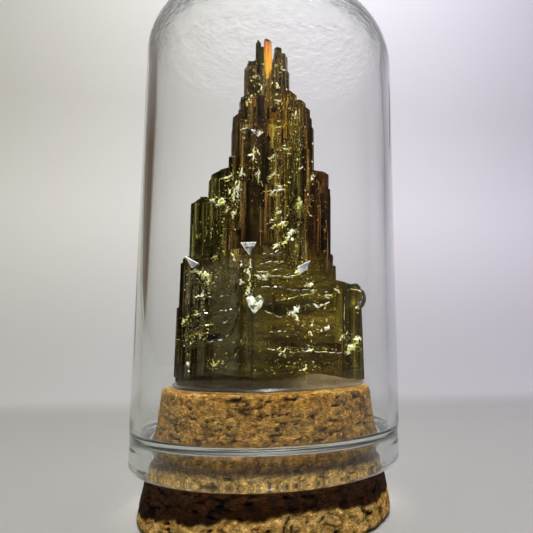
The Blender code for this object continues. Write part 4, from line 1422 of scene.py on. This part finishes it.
def build_camera():
    """A camera low in front, turned up, right and a little over, with its centre shifted."""
    cos_p, sin_p = math.cos(CAMERA_PITCH), math.sin(CAMERA_PITCH)
    cos_y, sin_y = math.cos(CAMERA_YAW), math.sin(CAMERA_YAW)
    cos_r, sin_r = math.cos(CAMERA_ROLL), math.sin(CAMERA_ROLL)
    forward = Vector((sin_y * cos_p, cos_y * cos_p, sin_p))
    right = Vector((cos_y, -sin_y, 0.0))
    up = right.cross(forward)
    matrix = Matrix((cos_r * right + sin_r * up, cos_r * up - sin_r * right, -forward)).transposed().to_4x4()
    matrix.translation = CAMERA_PLACE
    data = bpy.data.cameras.new("Camera")
    data.sensor_width = 36.0
    data.lens = data.sensor_width * FOCAL_PIXELS / PICTURE_SIZE
    data.shift_x = CENTRE_SHIFT / PICTURE_SIZE
    data.clip_start = 0.001
    camera = bpy.data.objects.new("Camera", data)
    bpy.context.scene.collection.objects.link(camera)
    camera.matrix_world = matrix
    bpy.context.scene.camera = camera


class CRYSTALDOME_OT_stage(bpy.types.Operator):
    """Set the floor, backdrop, lamps, room light and camera"""

    bl_idname = "crystal_dome.stage"
    bl_label = "Stage"

    def execute(self, context):
        settings = context.scene.crystal_dome_stage
        mesh = sweep_mesh()
        backdrop = bpy.data.objects.new("backdrop", mesh)
        context.scene.collection.objects.link(backdrop)
        mesh.materials.append(stage_material(settings))
        add_lamp("Key", (0.01, -0.18, 0.38), (0.0, 0.0, 0.05), 0.05, settings.key_power, (1.0, 0.96, 0.90))
        add_lamp("Wash", (0.02, 0.08, 0.62), (0.03, 0.36, 0.31), 0.30, settings.wash_power, (1.0, 0.985, 1.0))
        build_world()
        build_camera()
        context.scene.view_settings.view_transform = "Standard"
        context.scene.cycles.max_bounces = 24
        context.scene.cycles.transmission_bounces = 22
        return {"FINISHED"}


OPERATORS = (CRYSTALDOME_OT_stage, CRYSTALDOME_OT_cork, CRYSTALDOME_OT_glue, CRYSTALDOME_OT_crystal,
             CRYSTALDOME_OT_sparkle, CRYSTALDOME_OT_dome)
SETTINGS = (("crystal_dome_stage", StageSettings), ("crystal_dome_cork", CorkSettings),
            ("crystal_dome_glue", GlueSettings), ("crystal_dome_crystal", CrystalSettings),
            ("crystal_dome_dome", DomeSettings))


class CRYSTALDOME_PT_sidebar(bpy.types.Panel):
    """Sizes, colours and one button for each piece"""

    bl_idname = "CRYSTALDOME_PT_sidebar"
    bl_label = "Crystal Dome"
    bl_space_type = "VIEW_3D"
    bl_region_type = "UI"
    bl_category = "Crystal Dome"

    def draw(self, context):
        for name, group in SETTINGS:
            box = self.layout.box()
            for label in group.__annotations__:
                box.prop(getattr(context.scene, name), label)
        for operator in OPERATORS:
            self.layout.operator(operator.bl_idname)


CLASSES = (*(group for _, group in SETTINGS), *OPERATORS, CRYSTALDOME_PT_sidebar)


def register():
    for item in CLASSES:
        bpy.utils.register_class(item)
    for name, group in SETTINGS:
        setattr(bpy.types.Scene, name, PointerProperty(type=group))


def unregister():
    for name, _ in SETTINGS:
        delattr(bpy.types.Scene, name)
    for item in reversed(CLASSES):
        bpy.utils.unregister_class(item)


def main():
    register()
    for operator in OPERATORS:
        family, name = operator.bl_idname.split(".")
        getattr(getattr(bpy.ops, family), name)()


if __name__ == "__main__":
    main()
